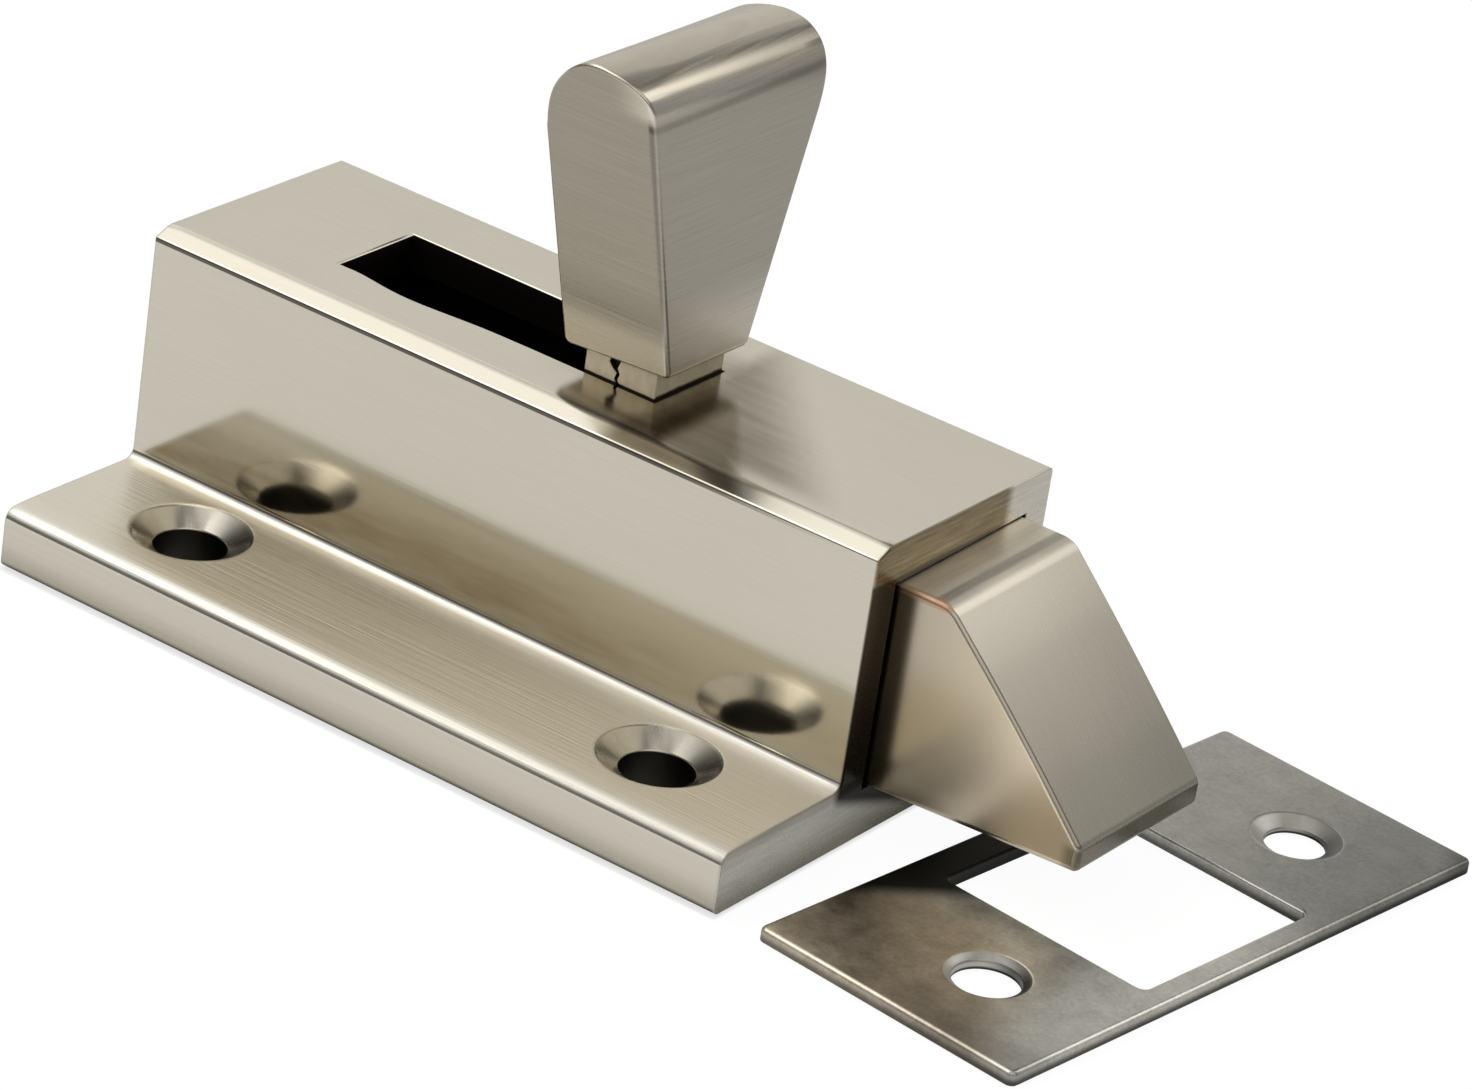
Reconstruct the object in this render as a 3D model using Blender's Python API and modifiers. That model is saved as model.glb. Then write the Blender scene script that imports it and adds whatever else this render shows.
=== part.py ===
"""Spring-loaded surface bolt with a paddle knob and a loose strike plate.

The case is a drawn hat section that lies on its flanges. X runs along the bolt towards its nose,
Y across the flanges, Z up. The origin is the middle of the case's underside.
"""
import math

import bmesh
import bpy
from mathutils import Vector

# Case
CASE_LENGTH = 0.0600
CASE_WIDTH = 0.0197
CASE_HEIGHT = 0.0214
TOP_WALL = 0.0028
SIDE_WALL = 0.0025
FLOOR_WALL = 0.0036
TOP_EDGE_RADIUS = 0.0007
FLANGE_SPAN = 0.0445
FLANGE_THICKNESS = 0.0044
FLANGE_EDGE_RADIUS = 0.0009
FLANGE_FOOT_RADIUS = 0.00035
ROOT_RADIUS = 0.0017

# Slot for the knob's neck, measured from the case's two ends
SLOT_WIDTH = 0.0080
SLOT_TO_FRONT = 0.02215
SLOT_TO_BACK = 0.0115

# Countersunk holes in the flanges, measured from the case's ends and its side walls
HOLE_DIAMETER = 0.0050
HOLE_SINK_DIAMETER = 0.0083
HOLE_SINK_DEPTH = 0.0015
HOLE_TO_END = 0.0103
HOLE_TO_WALL = 0.0055

# Clearances
RUN_CLEARANCE = 0.0003
FIT_GAP = 0.0003
NECK_CLEARANCE = 0.00025

# Bolt
NOSE_REACH = 0.0162
NOSE_FLAT = 0.0040
NOSE_TIP_HEIGHT = 0.0024
NOSE_TOP_RADIUS = 0.0020
NOSE_TIP_RADIUS = 0.0015
NOSE_FOOT_RADIUS = 0.0008
BOLT_EDGE_RADIUS = 0.0004
TAIL_WALL = 0.0028

# Knob
NECK_LENGTH = 0.0058
TENON_DEPTH = 0.0054
PADDLE_LIFT = 0.0021
PADDLE_HEIGHT = 0.0215
PADDLE_FOOT_WIDTH = 0.0084
PADDLE_TOP_WIDTH = 0.0206
PADDLE_FOOT_THICKNESS = 0.0086
PADDLE_TOP_THICKNESS = 0.0087
PADDLE_EDGE_RADIUS = 0.0003
GRUB_DIAMETER = 0.0030
GRUB_BITE = 0.0015
GRUB_POINT = 0.0006
GRUB_SOCKET = 0.0015
GRUB_SOCKET_DEPTH = 0.0018

# Spring and what carries it
SPRING_DIAMETER = 0.0060
SPRING_WIRE = 0.0007
SPRING_TURNS = 16
SPRING_HEIGHT = 0.0041
SPRING_BEND = 0.0008
POCKET_DEPTH = 0.0210
ROD_DIAMETER = 0.0036
ROD_REACH = 0.0190
ROD_SEAT = 0.0045
ROD_CHAMFER = 0.0006

# Rear plug and its screws
PLUG_LENGTH = 0.0070
PLUG_SCREW_DIAMETER = 0.0025
PLUG_SCREW_HEAD = 0.0047
PLUG_SCREW_HEAD_DEPTH = 0.0014
PLUG_SCREW_BITE = 0.0050
PLUG_SCREW_SPACING = 0.0090
PLUG_SCREW_SLOT_WIDTH = 0.0007
PLUG_SCREW_SLOT_DEPTH = 0.0007

# Strike plate, lying askew in front of the nose
STRIKE_LENGTH = 0.0465
STRIKE_WIDTH = 0.0208
STRIKE_THICKNESS = 0.0010
STRIKE_CORNER_RADIUS = 0.0010
STRIKE_WINDOW_PLAY_ACROSS = 0.0016
STRIKE_WINDOW_PLAY_HIGH = 0.0013
STRIKE_WINDOW_RADIUS = 0.0006
STRIKE_WINDOW_SHIFT = 0.00035
STRIKE_WINDOW_ASIDE = -0.0003
STRIKE_HOLE_SPACING = 0.0315
STRIKE_HOLE_SHIFT = 0.0019
STRIKE_HOLE_DIAMETER = 0.0042
STRIKE_SINK_DIAMETER = 0.0063
STRIKE_SINK_DEPTH = 0.0006
STRIKE_AHEAD = 0.01653
STRIKE_ASIDE = -0.0007
STRIKE_TURN_DEG = -6.4

# Facets
FILLET_STEPS = 4
ROUND_STEPS = 24
CROWN_STEPS = 16
CURL_POINTS = 9

# Places that follow from the sizes above
CASE_FRONT = CASE_LENGTH / 2
CASE_BACK = -CASE_LENGTH / 2
CHANNEL_WIDTH = CASE_WIDTH - 2 * SIDE_WALL
CHANNEL_TOP = CASE_HEIGHT - TOP_WALL
SLOT_FRONT = CASE_FRONT - SLOT_TO_FRONT
SLOT_BACK = CASE_BACK + SLOT_TO_BACK
BOLT_WIDTH = CHANNEL_WIDTH - 2 * RUN_CLEARANCE
BOLT_BOTTOM = FLOOR_WALL + RUN_CLEARANCE
BOLT_TOP = CHANNEL_TOP - RUN_CLEARANCE
NECK_WIDTH = SLOT_WIDTH - 2 * NECK_CLEARANCE
NECK_X = SLOT_FRONT - FIT_GAP - NECK_LENGTH / 2
MORTISE_BACK = NECK_X - NECK_LENGTH / 2 - FIT_GAP
BOLT_TAIL = MORTISE_BACK - TAIL_WALL
BOLT_TIP = CASE_FRONT + NOSE_REACH
TENON_FOOT = BOLT_TOP - TENON_DEPTH
PADDLE_FOOT = CASE_HEIGHT + PADDLE_LIFT
GRUB_Z = BOLT_TOP - TENON_DEPTH / 2
SPRING_Z = BOLT_BOTTOM + SPRING_HEIGHT
PLUG_FRONT = CASE_BACK + PLUG_LENGTH
PLUG_BOTTOM = FLOOR_WALL + FIT_GAP
PLUG_TOP = CHANNEL_TOP - FIT_GAP
POCKET_END = BOLT_TAIL + POCKET_DEPTH
CUT_MARGIN = 0.002

ALONG_Y = (math.pi / 2, 0.0, 0.0)
ALONG_X = (math.pi / 2, 0.0, math.pi / 2)
TURNED_ALONG_X = (0.0, math.pi / 2, 0.0)


def clear_scene():
    """Remove whatever the file holds."""
    for obj in list(bpy.data.objects):
        bpy.data.objects.remove(obj, do_unlink=True)


def new_collection(name):
    """Make a collection in the scene."""
    collection = bpy.data.collections.new(name)
    bpy.context.scene.collection.children.link(collection)
    return collection


def metal(name, colour, roughness):
    """Make a plain metal material."""
    material = bpy.data.materials.new(name)
    material.use_nodes = True
    shader = material.node_tree.nodes["Principled BSDF"]
    shader.inputs["Base Color"].default_value = (*colour, 1.0)
    shader.inputs["Metallic"].default_value = 1.0
    shader.inputs["Roughness"].default_value = roughness
    material.diffuse_color = (*colour, 1.0)
    return material


def rounded(corners):
    """Turn corners (x, y, radius) into outline points, with an arc at each corner that has a radius."""
    points = []
    count = len(corners)
    for index, (x, y, radius) in enumerate(corners):
        corner = Vector((x, y))
        if radius == 0:
            points.append(corner)
            continue
        before = (Vector(corners[index - 1][:2]) - corner).normalized()
        after = (Vector(corners[(index + 1) % count][:2]) - corner).normalized()
        half_angle = before.angle(after) / 2
        centre = corner + (before + after).normalized() * radius / math.sin(half_angle)
        start = corner + before * radius / math.tan(half_angle) - centre
        end = corner + after * radius / math.tan(half_angle) - centre
        sweep = start.angle_signed(end)
        for step in range(FILLET_STEPS + 1):
            turn = -sweep * step / FILLET_STEPS
            spoke = Vector((
                start.x * math.cos(turn) - start.y * math.sin(turn),
                start.x * math.sin(turn) + start.y * math.cos(turn),
            ))
            points.append(centre + spoke)
    return points


def rectangle(width, height, radius=0.0, centre=(0.0, 0.0)):
    """Corners of a rectangle, counter-clockwise, each with the same radius."""
    signs = ((-1, -1), (1, -1), (1, 1), (-1, 1))
    return [(centre[0] + sx * width / 2, centre[1] + sy * height / 2, radius) for sx, sy in signs]


def mesh_from_curve(curve_object):
    """Make a welded mesh from a curve object and remove the curve."""
    bpy.context.view_layer.update()
    evaluated = curve_object.evaluated_get(bpy.context.evaluated_depsgraph_get())
    mesh = bpy.data.meshes.new_from_object(evaluated)
    bpy.data.objects.remove(curve_object, do_unlink=True)
    body = bmesh.new()
    body.from_mesh(mesh)
    bmesh.ops.remove_doubles(body, verts=body.verts, dist=1e-6)
    bmesh.ops.recalc_face_normals(body, faces=body.faces)
    body.to_mesh(mesh)
    body.free()
    return mesh


def flat_mesh(name, loops, thickness):
    """Extrude a flat outline, whose later loops are holes, to a thickness about its plane."""
    curve = bpy.data.curves.new(name, "CURVE")
    curve.dimensions = "2D"
    curve.fill_mode = "BOTH"
    curve.extrude = thickness / 2
    for loop in loops:
        spline = curve.splines.new("POLY")
        spline.points.add(len(loop) - 1)
        for spline_point, place in zip(spline.points, loop):
            spline_point.co = (place[0], place[1], 0.0, 1.0)
        spline.use_cyclic_u = True
    curve_object = bpy.data.objects.new(name + "_outline", curve)
    bpy.context.scene.collection.objects.link(curve_object)
    return mesh_from_curve(curve_object)


def box_mesh(name, size):
    """Make a box about its own middle."""
    mesh = bpy.data.meshes.new(name)
    body = bmesh.new()
    bmesh.ops.create_cube(body, size=1.0)
    bmesh.ops.scale(body, vec=size, verts=body.verts)
    body.to_mesh(mesh)
    body.free()
    return mesh


def prism_mesh(name, across_flats, height, sides):
    """Make an upright prism with so many sides about its own middle."""
    mesh = bpy.data.meshes.new(name)
    body = bmesh.new()
    radius = across_flats / 2 / math.cos(math.pi / sides)
    bmesh.ops.create_cone(
        body, cap_ends=True, segments=sides, radius1=radius, radius2=radius, depth=height)
    body.to_mesh(mesh)
    body.free()
    return mesh


def profile_mesh(name, profile):
    """Make a chain of points (radius, height) that a Screw modifier turns round Z."""
    mesh = bpy.data.meshes.new(name)
    points = [(radius, 0.0, height) for radius, height in profile]
    edges = [(index, index + 1) for index in range(len(points) - 1)]
    mesh.from_pydata(points, edges, [])
    return mesh


def add(name, mesh, collection, location=(0, 0, 0), rotation=(0, 0, 0), parent=None, material=None):
    """Add an object for a mesh, with its place and its material."""
    obj = bpy.data.objects.new(name, mesh)
    collection.objects.link(obj)
    obj.location = location
    obj.rotation_euler = rotation
    obj.parent = parent
    if material:
        mesh.materials.append(material)
    return obj


def add_turned(name, profile, collection, location, rotation=(0, 0, 0), parent=None, material=None):
    """Add a turned object; its profile runs from the top of the axis down the outside to the bottom."""
    obj = add(name, profile_mesh(name, profile), collection, location, rotation, parent, material)
    screw = obj.modifiers.new("turn", "SCREW")
    screw.axis = "Z"
    screw.steps = ROUND_STEPS
    screw.render_steps = ROUND_STEPS
    screw.use_merge_vertices = True
    screw.merge_threshold = 1e-6
    return obj


def as_cutter(obj):
    """Mark an object as a guide that only cuts."""
    obj.hide_render = True
    obj.display_type = "WIRE"
    return obj


def combine(target, tool, operation):
    """Cut, join or trim an object with another."""
    boolean = target.modifiers.new(operation.lower() + "_" + tool.name, "BOOLEAN")
    boolean.operation = operation
    boolean.solver = "EXACT"
    boolean.object = as_cutter(tool)


def soften(obj, width, segments=2):
    """Round the sharp edges of an object."""
    bevel = obj.modifiers.new("edges", "BEVEL")
    bevel.width = width
    bevel.segments = segments
    bevel.limit_method = "ANGLE"
    bevel.angle_limit = math.radians(50)


def dissolve_flats(mesh):
    """Merge the triangles of flat faces, so that edges can be rounded cleanly."""
    body = bmesh.new()
    body.from_mesh(mesh)
    bmesh.ops.dissolve_limit(
        body, angle_limit=math.radians(0.5), verts=body.verts, edges=body.edges)
    body.to_mesh(mesh)
    body.free()


def sink_profile(hole, sink, sink_depth, below):
    """Profile of a countersunk hole's cutter, with the plate's face at height zero."""
    return [
        (0.0, CUT_MARGIN),
        (sink / 2, CUT_MARGIN),
        (sink / 2, 0.0),
        (hole / 2, -sink_depth),
        (hole / 2, -below),
        (0.0, -below),
    ]


def build_case(parts, cutters, material):
    """Hat section with its channel, top slot, flange holes and plug screw holes."""
    half_span = FLANGE_SPAN / 2
    half_width = CASE_WIDTH / 2
    right_side = [
        (half_span, 0.0, FLANGE_FOOT_RADIUS),
        (half_span, FLANGE_THICKNESS, FLANGE_EDGE_RADIUS),
        (half_width, FLANGE_THICKNESS, ROOT_RADIUS),
        (half_width, CASE_HEIGHT, TOP_EDGE_RADIUS),
    ]
    left_side = [(-y, z, radius) for y, z, radius in reversed(right_side)]
    channel_height = CHANNEL_TOP - FLOOR_WALL
    channel = rectangle(CHANNEL_WIDTH, channel_height, centre=(0.0, FLOOR_WALL + channel_height / 2))
    loops = [rounded(right_side + left_side), rounded(channel)]
    mesh = flat_mesh("latch_case", loops, CASE_LENGTH)
    case = add("latch_case", mesh, parts, rotation=ALONG_X, material=material)

    slot_length = SLOT_FRONT - SLOT_BACK
    slot = add(
        "slot_cutter", box_mesh("slot_cutter", (slot_length, SLOT_WIDTH, 2 * TOP_WALL)), cutters,
        location=((SLOT_FRONT + SLOT_BACK) / 2, 0.0, CASE_HEIGHT))
    combine(case, slot, "DIFFERENCE")

    profile = sink_profile(HOLE_DIAMETER, HOLE_SINK_DIAMETER, HOLE_SINK_DEPTH, FLANGE_THICKNESS + CUT_MARGIN)
    hole_x = CASE_LENGTH / 2 - HOLE_TO_END
    hole_y = half_width + HOLE_TO_WALL
    for x_sign in (-1, 1):
        for y_sign in (-1, 1):
            hole = add_turned(
                "flange_hole_cutter", profile, cutters, (x_sign * hole_x, y_sign * hole_y, FLANGE_THICKNESS))
            combine(case, hole, "DIFFERENCE")

    for y_sign in (-1, 1):
        hole = add_turned(
            "plug_hole_cutter",
            sink_profile(
                PLUG_SCREW_DIAMETER + 2 * FIT_GAP, PLUG_SCREW_HEAD + 2 * FIT_GAP,
                PLUG_SCREW_HEAD_DEPTH + FIT_GAP, FLOOR_WALL + CUT_MARGIN),
            cutters, (plug_screw_x(), y_sign * PLUG_SCREW_SPACING / 2, 0.0), rotation=(math.pi, 0, 0))
        combine(case, hole, "DIFFERENCE")
    return case


def plug_screw_x():
    """Place of the plug screws along the case: the middle of the plug."""
    return (CASE_BACK + PLUG_FRONT) / 2


def build_plug(parts, cutters, material):
    """Block in the channel's rear end, with a seat for the rod and holes for its screws."""
    width = CHANNEL_WIDTH - 2 * FIT_GAP
    height = PLUG_TOP - PLUG_BOTTOM
    plug = add(
        "rear_plug", box_mesh("rear_plug", (PLUG_LENGTH, width, height)), parts,
        location=(plug_screw_x(), 0.0, (PLUG_TOP + PLUG_BOTTOM) / 2), material=material)
    soften(plug, BOLT_EDGE_RADIUS)

    seat_radius = ROD_DIAMETER / 2 + FIT_GAP
    seat_depth = ROD_SEAT + FIT_GAP
    seat = add_turned(
        "rod_seat_cutter",
        [(0.0, CUT_MARGIN), (seat_radius, CUT_MARGIN), (seat_radius, -seat_depth), (0.0, -seat_depth)],
        cutters, (PLUG_FRONT, 0.0, SPRING_Z), rotation=TURNED_ALONG_X)
    combine(plug, seat, "DIFFERENCE")

    hole_radius = PLUG_SCREW_DIAMETER / 2 + FIT_GAP
    hole_depth = PLUG_SCREW_BITE + FIT_GAP
    for y_sign in (-1, 1):
        hole = add_turned(
            "plug_bite_cutter",
            [(0.0, hole_depth), (hole_radius, hole_depth), (hole_radius, -CUT_MARGIN), (0.0, -CUT_MARGIN)],
            cutters, (plug_screw_x(), y_sign * PLUG_SCREW_SPACING / 2, PLUG_BOTTOM))
        combine(plug, hole, "DIFFERENCE")


def build_plug_screws(parts, cutters, material):
    """Two countersunk screws, driven from below, with their heads just inside the underside."""
    head = PLUG_SCREW_HEAD / 2
    shank = PLUG_SCREW_DIAMETER / 2
    length = PLUG_BOTTOM + PLUG_SCREW_BITE - FIT_GAP
    profile = [
        (0.0, length),
        (shank, length),
        (shank, PLUG_SCREW_HEAD_DEPTH),
        (head, 0.0),
        (0.0, 0.0),
    ]
    for name, y_sign in (("plug_screw_near", -1), ("plug_screw_far", 1)):
        place = (plug_screw_x(), y_sign * PLUG_SCREW_SPACING / 2, FIT_GAP)
        screw = add_turned(name, profile, parts, place, material=material)
        drive = add(
            "screw_slot_cutter",
            box_mesh("screw_slot_cutter", (PLUG_SCREW_SLOT_WIDTH, 2 * head, 2 * PLUG_SCREW_SLOT_DEPTH)),
            cutters, location=place)
        combine(screw, drive, "DIFFERENCE")


def build_rod(parts, material):
    """Guide rod in the plug, which keeps the spring straight."""
    radius = ROD_DIAMETER / 2
    length = ROD_SEAT + ROD_REACH
    profile = [
        (0.0, length),
        (radius - ROD_CHAMFER, length),
        (radius, length - ROD_CHAMFER),
        (radius, ROD_CHAMFER),
        (radius - ROD_CHAMFER, 0.0),
        (0.0, 0.0),
    ]
    add_turned(
        "spring_guide_rod", profile, parts, (PLUG_FRONT - ROD_SEAT, 0.0, SPRING_Z),
        rotation=TURNED_ALONG_X, material=material)


def spring_path(length):
    """Points of the spring's wire, worked out on the unrolled cylinder and wrapped round X.

    Each end runs straight for one wire diameter, square to its seat, and bends into the coil.
    """
    radius = (SPRING_DIAMETER - SPRING_WIRE) / 2
    bend_steps = 3
    lead = []
    for step in range(bend_steps + 1):
        turn = math.pi / 2 * step / bend_steps
        lead.append((SPRING_WIRE + SPRING_BEND * math.sin(turn), SPRING_BEND * (1 - math.cos(turn))))
    first_x, first_run = lead[-1]
    coil_run = SPRING_TURNS * 2 * math.pi * radius
    total_run = coil_run + 2 * first_run
    steps = SPRING_TURNS * CURL_POINTS
    unrolled = [(0.0, 0.0)] + lead
    for step in range(1, steps):
        share = step / steps
        unrolled.append((first_x + share * (length - 2 * first_x), first_run + share * coil_run))
    unrolled += [(length - x, total_run - run) for x, run in reversed(lead)]
    unrolled.append((length, total_run))
    return [
        Vector((x, radius * math.sin(run / radius), radius * math.cos(run / radius))) for x, run in unrolled
    ]


def least_gap(path, wire, neighbours):
    """Smallest clear distance between stretches of the wire that aren't neighbours."""
    least = math.inf
    for index, point in enumerate(path):
        for other in path[index + neighbours:]:
            least = min(least, (point - other).length - wire)
    return least


def build_spring(parts, material):
    """Compression spring from the plug to the end of the bolt's pocket, as one unbroken tube."""
    start = PLUG_FRONT + FIT_GAP
    path = spring_path(POCKET_END - FIT_GAP - start)
    curve = bpy.data.curves.new("return_spring", "CURVE")
    curve.dimensions = "3D"
    curve.bevel_depth = SPRING_WIRE / 2
    curve.bevel_resolution = 1
    curve.use_fill_caps = True
    spline = curve.splines.new("POLY")
    spline.points.add(len(path) - 1)
    for spline_point, place in zip(spline.points, path):
        spline_point.co = (*place, 1.0)
    curve_object = bpy.data.objects.new("return_spring_path", curve)
    bpy.context.scene.collection.objects.link(curve_object)
    mesh = mesh_from_curve(curve_object)
    add("return_spring", mesh, parts, location=(start, 0.0, SPRING_Z), material=material)
    gap = least_gap(path, SPRING_WIRE, CURL_POINTS // 2)
    print("return_spring least gap to itself: %.2f mm" % (gap * 1000))


def build_bolt(parts, cutters, carriage, material):
    """Bolt bar with its bevelled nose, spring pocket, mortise for the knob and grub screw hole."""
    outline = rounded([
        (BOLT_TAIL, BOLT_BOTTOM, 0.0),
        (BOLT_TIP, BOLT_BOTTOM, NOSE_FOOT_RADIUS),
        (BOLT_TIP, BOLT_BOTTOM + NOSE_TIP_HEIGHT, NOSE_TIP_RADIUS),
        (CASE_FRONT + NOSE_FLAT, BOLT_TOP, NOSE_TOP_RADIUS),
        (BOLT_TAIL, BOLT_TOP, 0.0),
    ])
    origin = Vector((carriage.location.x, carriage.location.z))
    mesh = flat_mesh("bolt", [[point - origin for point in outline]], BOLT_WIDTH)
    dissolve_flats(mesh)
    bolt = add("bolt", mesh, parts, rotation=ALONG_Y, parent=carriage, material=material)
    soften(bolt, BOLT_EDGE_RADIUS)

    pocket_radius = SPRING_DIAMETER / 2 + FIT_GAP
    pocket = add_turned(
        "pocket_cutter",
        [(0.0, POCKET_DEPTH), (pocket_radius, POCKET_DEPTH), (pocket_radius, -CUT_MARGIN), (0.0, -CUT_MARGIN)],
        cutters, on_carriage(carriage, BOLT_TAIL, SPRING_Z), rotation=TURNED_ALONG_X, parent=carriage)
    combine(bolt, pocket, "DIFFERENCE")

    mortise_depth = TENON_DEPTH + FIT_GAP
    size = (NECK_LENGTH + 2 * FIT_GAP, NECK_WIDTH + 2 * FIT_GAP, 2 * mortise_depth)
    mortise = add(
        "mortise_cutter", box_mesh("mortise_cutter", size), cutters,
        location=on_carriage(carriage, NECK_X, BOLT_TOP), parent=carriage)
    combine(bolt, mortise, "DIFFERENCE")

    grub_radius = GRUB_DIAMETER / 2 + FIT_GAP
    reach = TAIL_WALL + FIT_GAP
    grub_hole = add_turned(
        "grub_hole_cutter",
        [(0.0, reach), (grub_radius, reach), (grub_radius, -CUT_MARGIN), (0.0, -CUT_MARGIN)],
        cutters, on_carriage(carriage, BOLT_TAIL, GRUB_Z), rotation=TURNED_ALONG_X, parent=carriage)
    combine(bolt, grub_hole, "DIFFERENCE")


def on_carriage(carriage, x, z):
    """Place on the bolt's middle plane, as seen from the carriage."""
    return (x - carriage.location.x, 0.0, z - carriage.location.z)


def paddle_mesh():
    """Paddle: a round-topped slab along Y, whose ends then lean out to the wider top."""
    crown = PADDLE_TOP_THICKNESS / 2
    spring_line = PADDLE_HEIGHT - crown
    foot = PADDLE_FOOT_THICKNESS / 2
    outline = [Vector((-foot, 0.0)), Vector((foot, 0.0))]
    for step in range(CROWN_STEPS + 1):
        turn = math.pi * step / CROWN_STEPS
        outline.append(Vector((crown * math.cos(turn), spring_line + crown * math.sin(turn))))
    mesh = flat_mesh("knob", [outline], PADDLE_TOP_WIDTH)
    dissolve_flats(mesh)
    for vertex in mesh.vertices:
        share = vertex.co.y / PADDLE_HEIGHT
        width = PADDLE_FOOT_WIDTH + share * (PADDLE_TOP_WIDTH - PADDLE_FOOT_WIDTH)
        vertex.co.z = math.copysign(width / 2, vertex.co.z)
    return mesh


def build_knob(parts, cutters, carriage, material):
    """Paddle knob with the neck that runs in the slot and the tenon that stands in the bolt."""
    knob = add(
        "knob", paddle_mesh(), parts, location=on_carriage(carriage, NECK_X, PADDLE_FOOT),
        rotation=ALONG_Y, parent=carriage, material=material)
    soften(knob, PADDLE_EDGE_RADIUS)

    overlap = PADDLE_FOOT_THICKNESS / 4
    height = PADDLE_FOOT + overlap - TENON_FOOT
    neck = add(
        "neck_tool", box_mesh("neck_tool", (NECK_LENGTH, NECK_WIDTH, height)), cutters,
        location=on_carriage(carriage, NECK_X, TENON_FOOT + height / 2), parent=carriage)
    combine(knob, neck, "UNION")

    grub_radius = GRUB_DIAMETER / 2 + FIT_GAP
    depth = GRUB_BITE + FIT_GAP
    dimple = add_turned(
        "grub_dimple_cutter",
        [(0.0, depth), (grub_radius, depth), (grub_radius, -FIT_GAP), (0.0, -FIT_GAP)],
        cutters, on_carriage(carriage, NECK_X - NECK_LENGTH / 2, GRUB_Z), rotation=TURNED_ALONG_X,
        parent=carriage)
    combine(knob, dimple, "DIFFERENCE")


def build_grub_screw(parts, cutters, carriage, material):
    """Headless screw with a hexagon socket, through the bolt's tail into the tenon."""
    radius = GRUB_DIAMETER / 2
    length = TAIL_WALL + FIT_GAP + GRUB_BITE
    profile = [
        (0.0, length),
        (radius - GRUB_POINT, length),
        (radius, length - GRUB_POINT),
        (radius, 0.0),
        (0.0, 0.0),
    ]
    place = on_carriage(carriage, BOLT_TAIL, GRUB_Z)
    grub = add_turned(
        "knob_grub_screw", profile, parts, place, rotation=TURNED_ALONG_X, parent=carriage, material=material)
    socket = add(
        "grub_socket_cutter", prism_mesh("grub_socket_cutter", GRUB_SOCKET, 2 * GRUB_SOCKET_DEPTH, 6), cutters,
        location=place, rotation=TURNED_ALONG_X, parent=carriage)
    combine(grub, socket, "DIFFERENCE")


def build_strike(parts, cutters, material):
    """Strike plate with the bolt's window and two countersunk holes."""
    bolt_height = BOLT_TOP - BOLT_BOTTOM
    window = rectangle(
        bolt_height + 2 * STRIKE_WINDOW_PLAY_HIGH, BOLT_WIDTH + 2 * STRIKE_WINDOW_PLAY_ACROSS,
        STRIKE_WINDOW_RADIUS, centre=(STRIKE_WINDOW_SHIFT, STRIKE_WINDOW_ASIDE))
    plate = rectangle(STRIKE_WIDTH, STRIKE_LENGTH, STRIKE_CORNER_RADIUS)
    mesh = flat_mesh("strike_plate", [rounded(plate), rounded(window)], STRIKE_THICKNESS)
    turn = math.radians(STRIKE_TURN_DEG)
    centre = Vector((CASE_FRONT + STRIKE_AHEAD, STRIKE_ASIDE, STRIKE_THICKNESS / 2))
    strike = add(
        "strike_plate", mesh, parts, location=centre, rotation=(0.0, 0.0, turn), material=material)
    profile = sink_profile(
        STRIKE_HOLE_DIAMETER, STRIKE_SINK_DIAMETER, STRIKE_SINK_DEPTH, STRIKE_THICKNESS + CUT_MARGIN)
    for y_sign in (-1, 1):
        hole = add_turned(
            "strike_hole_cutter", profile, cutters,
            (STRIKE_HOLE_SHIFT, y_sign * STRIKE_HOLE_SPACING / 2, STRIKE_THICKNESS / 2), parent=strike)
        combine(strike, hole, "DIFFERENCE")


def main():
    """Build every piece of the bolt."""
    clear_scene()
    parts = new_collection("barrel_bolt")
    cutters = new_collection("cutters")
    satin_nickel = metal("satin_nickel", (0.62, 0.59, 0.53), 0.28)
    bolt_nickel = metal("bolt_nickel", (0.58, 0.55, 0.50), 0.28)
    knob_nickel = metal("knob_nickel", (0.56, 0.54, 0.49), 0.32)
    strike_steel = metal("strike_steel", (0.50, 0.49, 0.47), 0.35)
    plain_brass = metal("plain_brass", (0.60, 0.48, 0.28), 0.35)
    spring_steel = metal("spring_steel", (0.42, 0.42, 0.42), 0.30)
    screw_steel = metal("screw_steel", (0.38, 0.38, 0.39), 0.35)

    carriage = bpy.data.objects.new("bolt_carriage", None)
    carriage.location = (NECK_X, 0.0, (BOLT_BOTTOM + BOLT_TOP) / 2)
    parts.objects.link(carriage)

    build_case(parts, cutters, satin_nickel)
    build_plug(parts, cutters, plain_brass)
    build_plug_screws(parts, cutters, screw_steel)
    build_rod(parts, spring_steel)
    build_spring(parts, spring_steel)
    build_bolt(parts, cutters, carriage, bolt_nickel)
    build_knob(parts, cutters, carriage, knob_nickel)
    build_grub_screw(parts, cutters, carriage, screw_steel)
    build_strike(parts, cutters, strike_steel)
    bpy.context.view_layer.update()


main()
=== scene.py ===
"""Dress a spring-loaded surface bolt: fine meshes, metal finishes, studio light and camera.

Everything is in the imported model's frame: X runs along the bolt towards its nose, Y across the flanges
and Z up from the face that lies on the door. Shapes are in metres, and the marks of the finishes are
placed in millimetres. Every piece stays at the origin, with its place in its mesh.
"""
import logging
import math
from collections.abc import Callable, Iterable, Mapping, Sequence
from dataclasses import dataclass, field
from enum import Enum

import bmesh
import bpy
from mathutils import Matrix, Vector
from mathutils.geometry import interpolate_bezier


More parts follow.
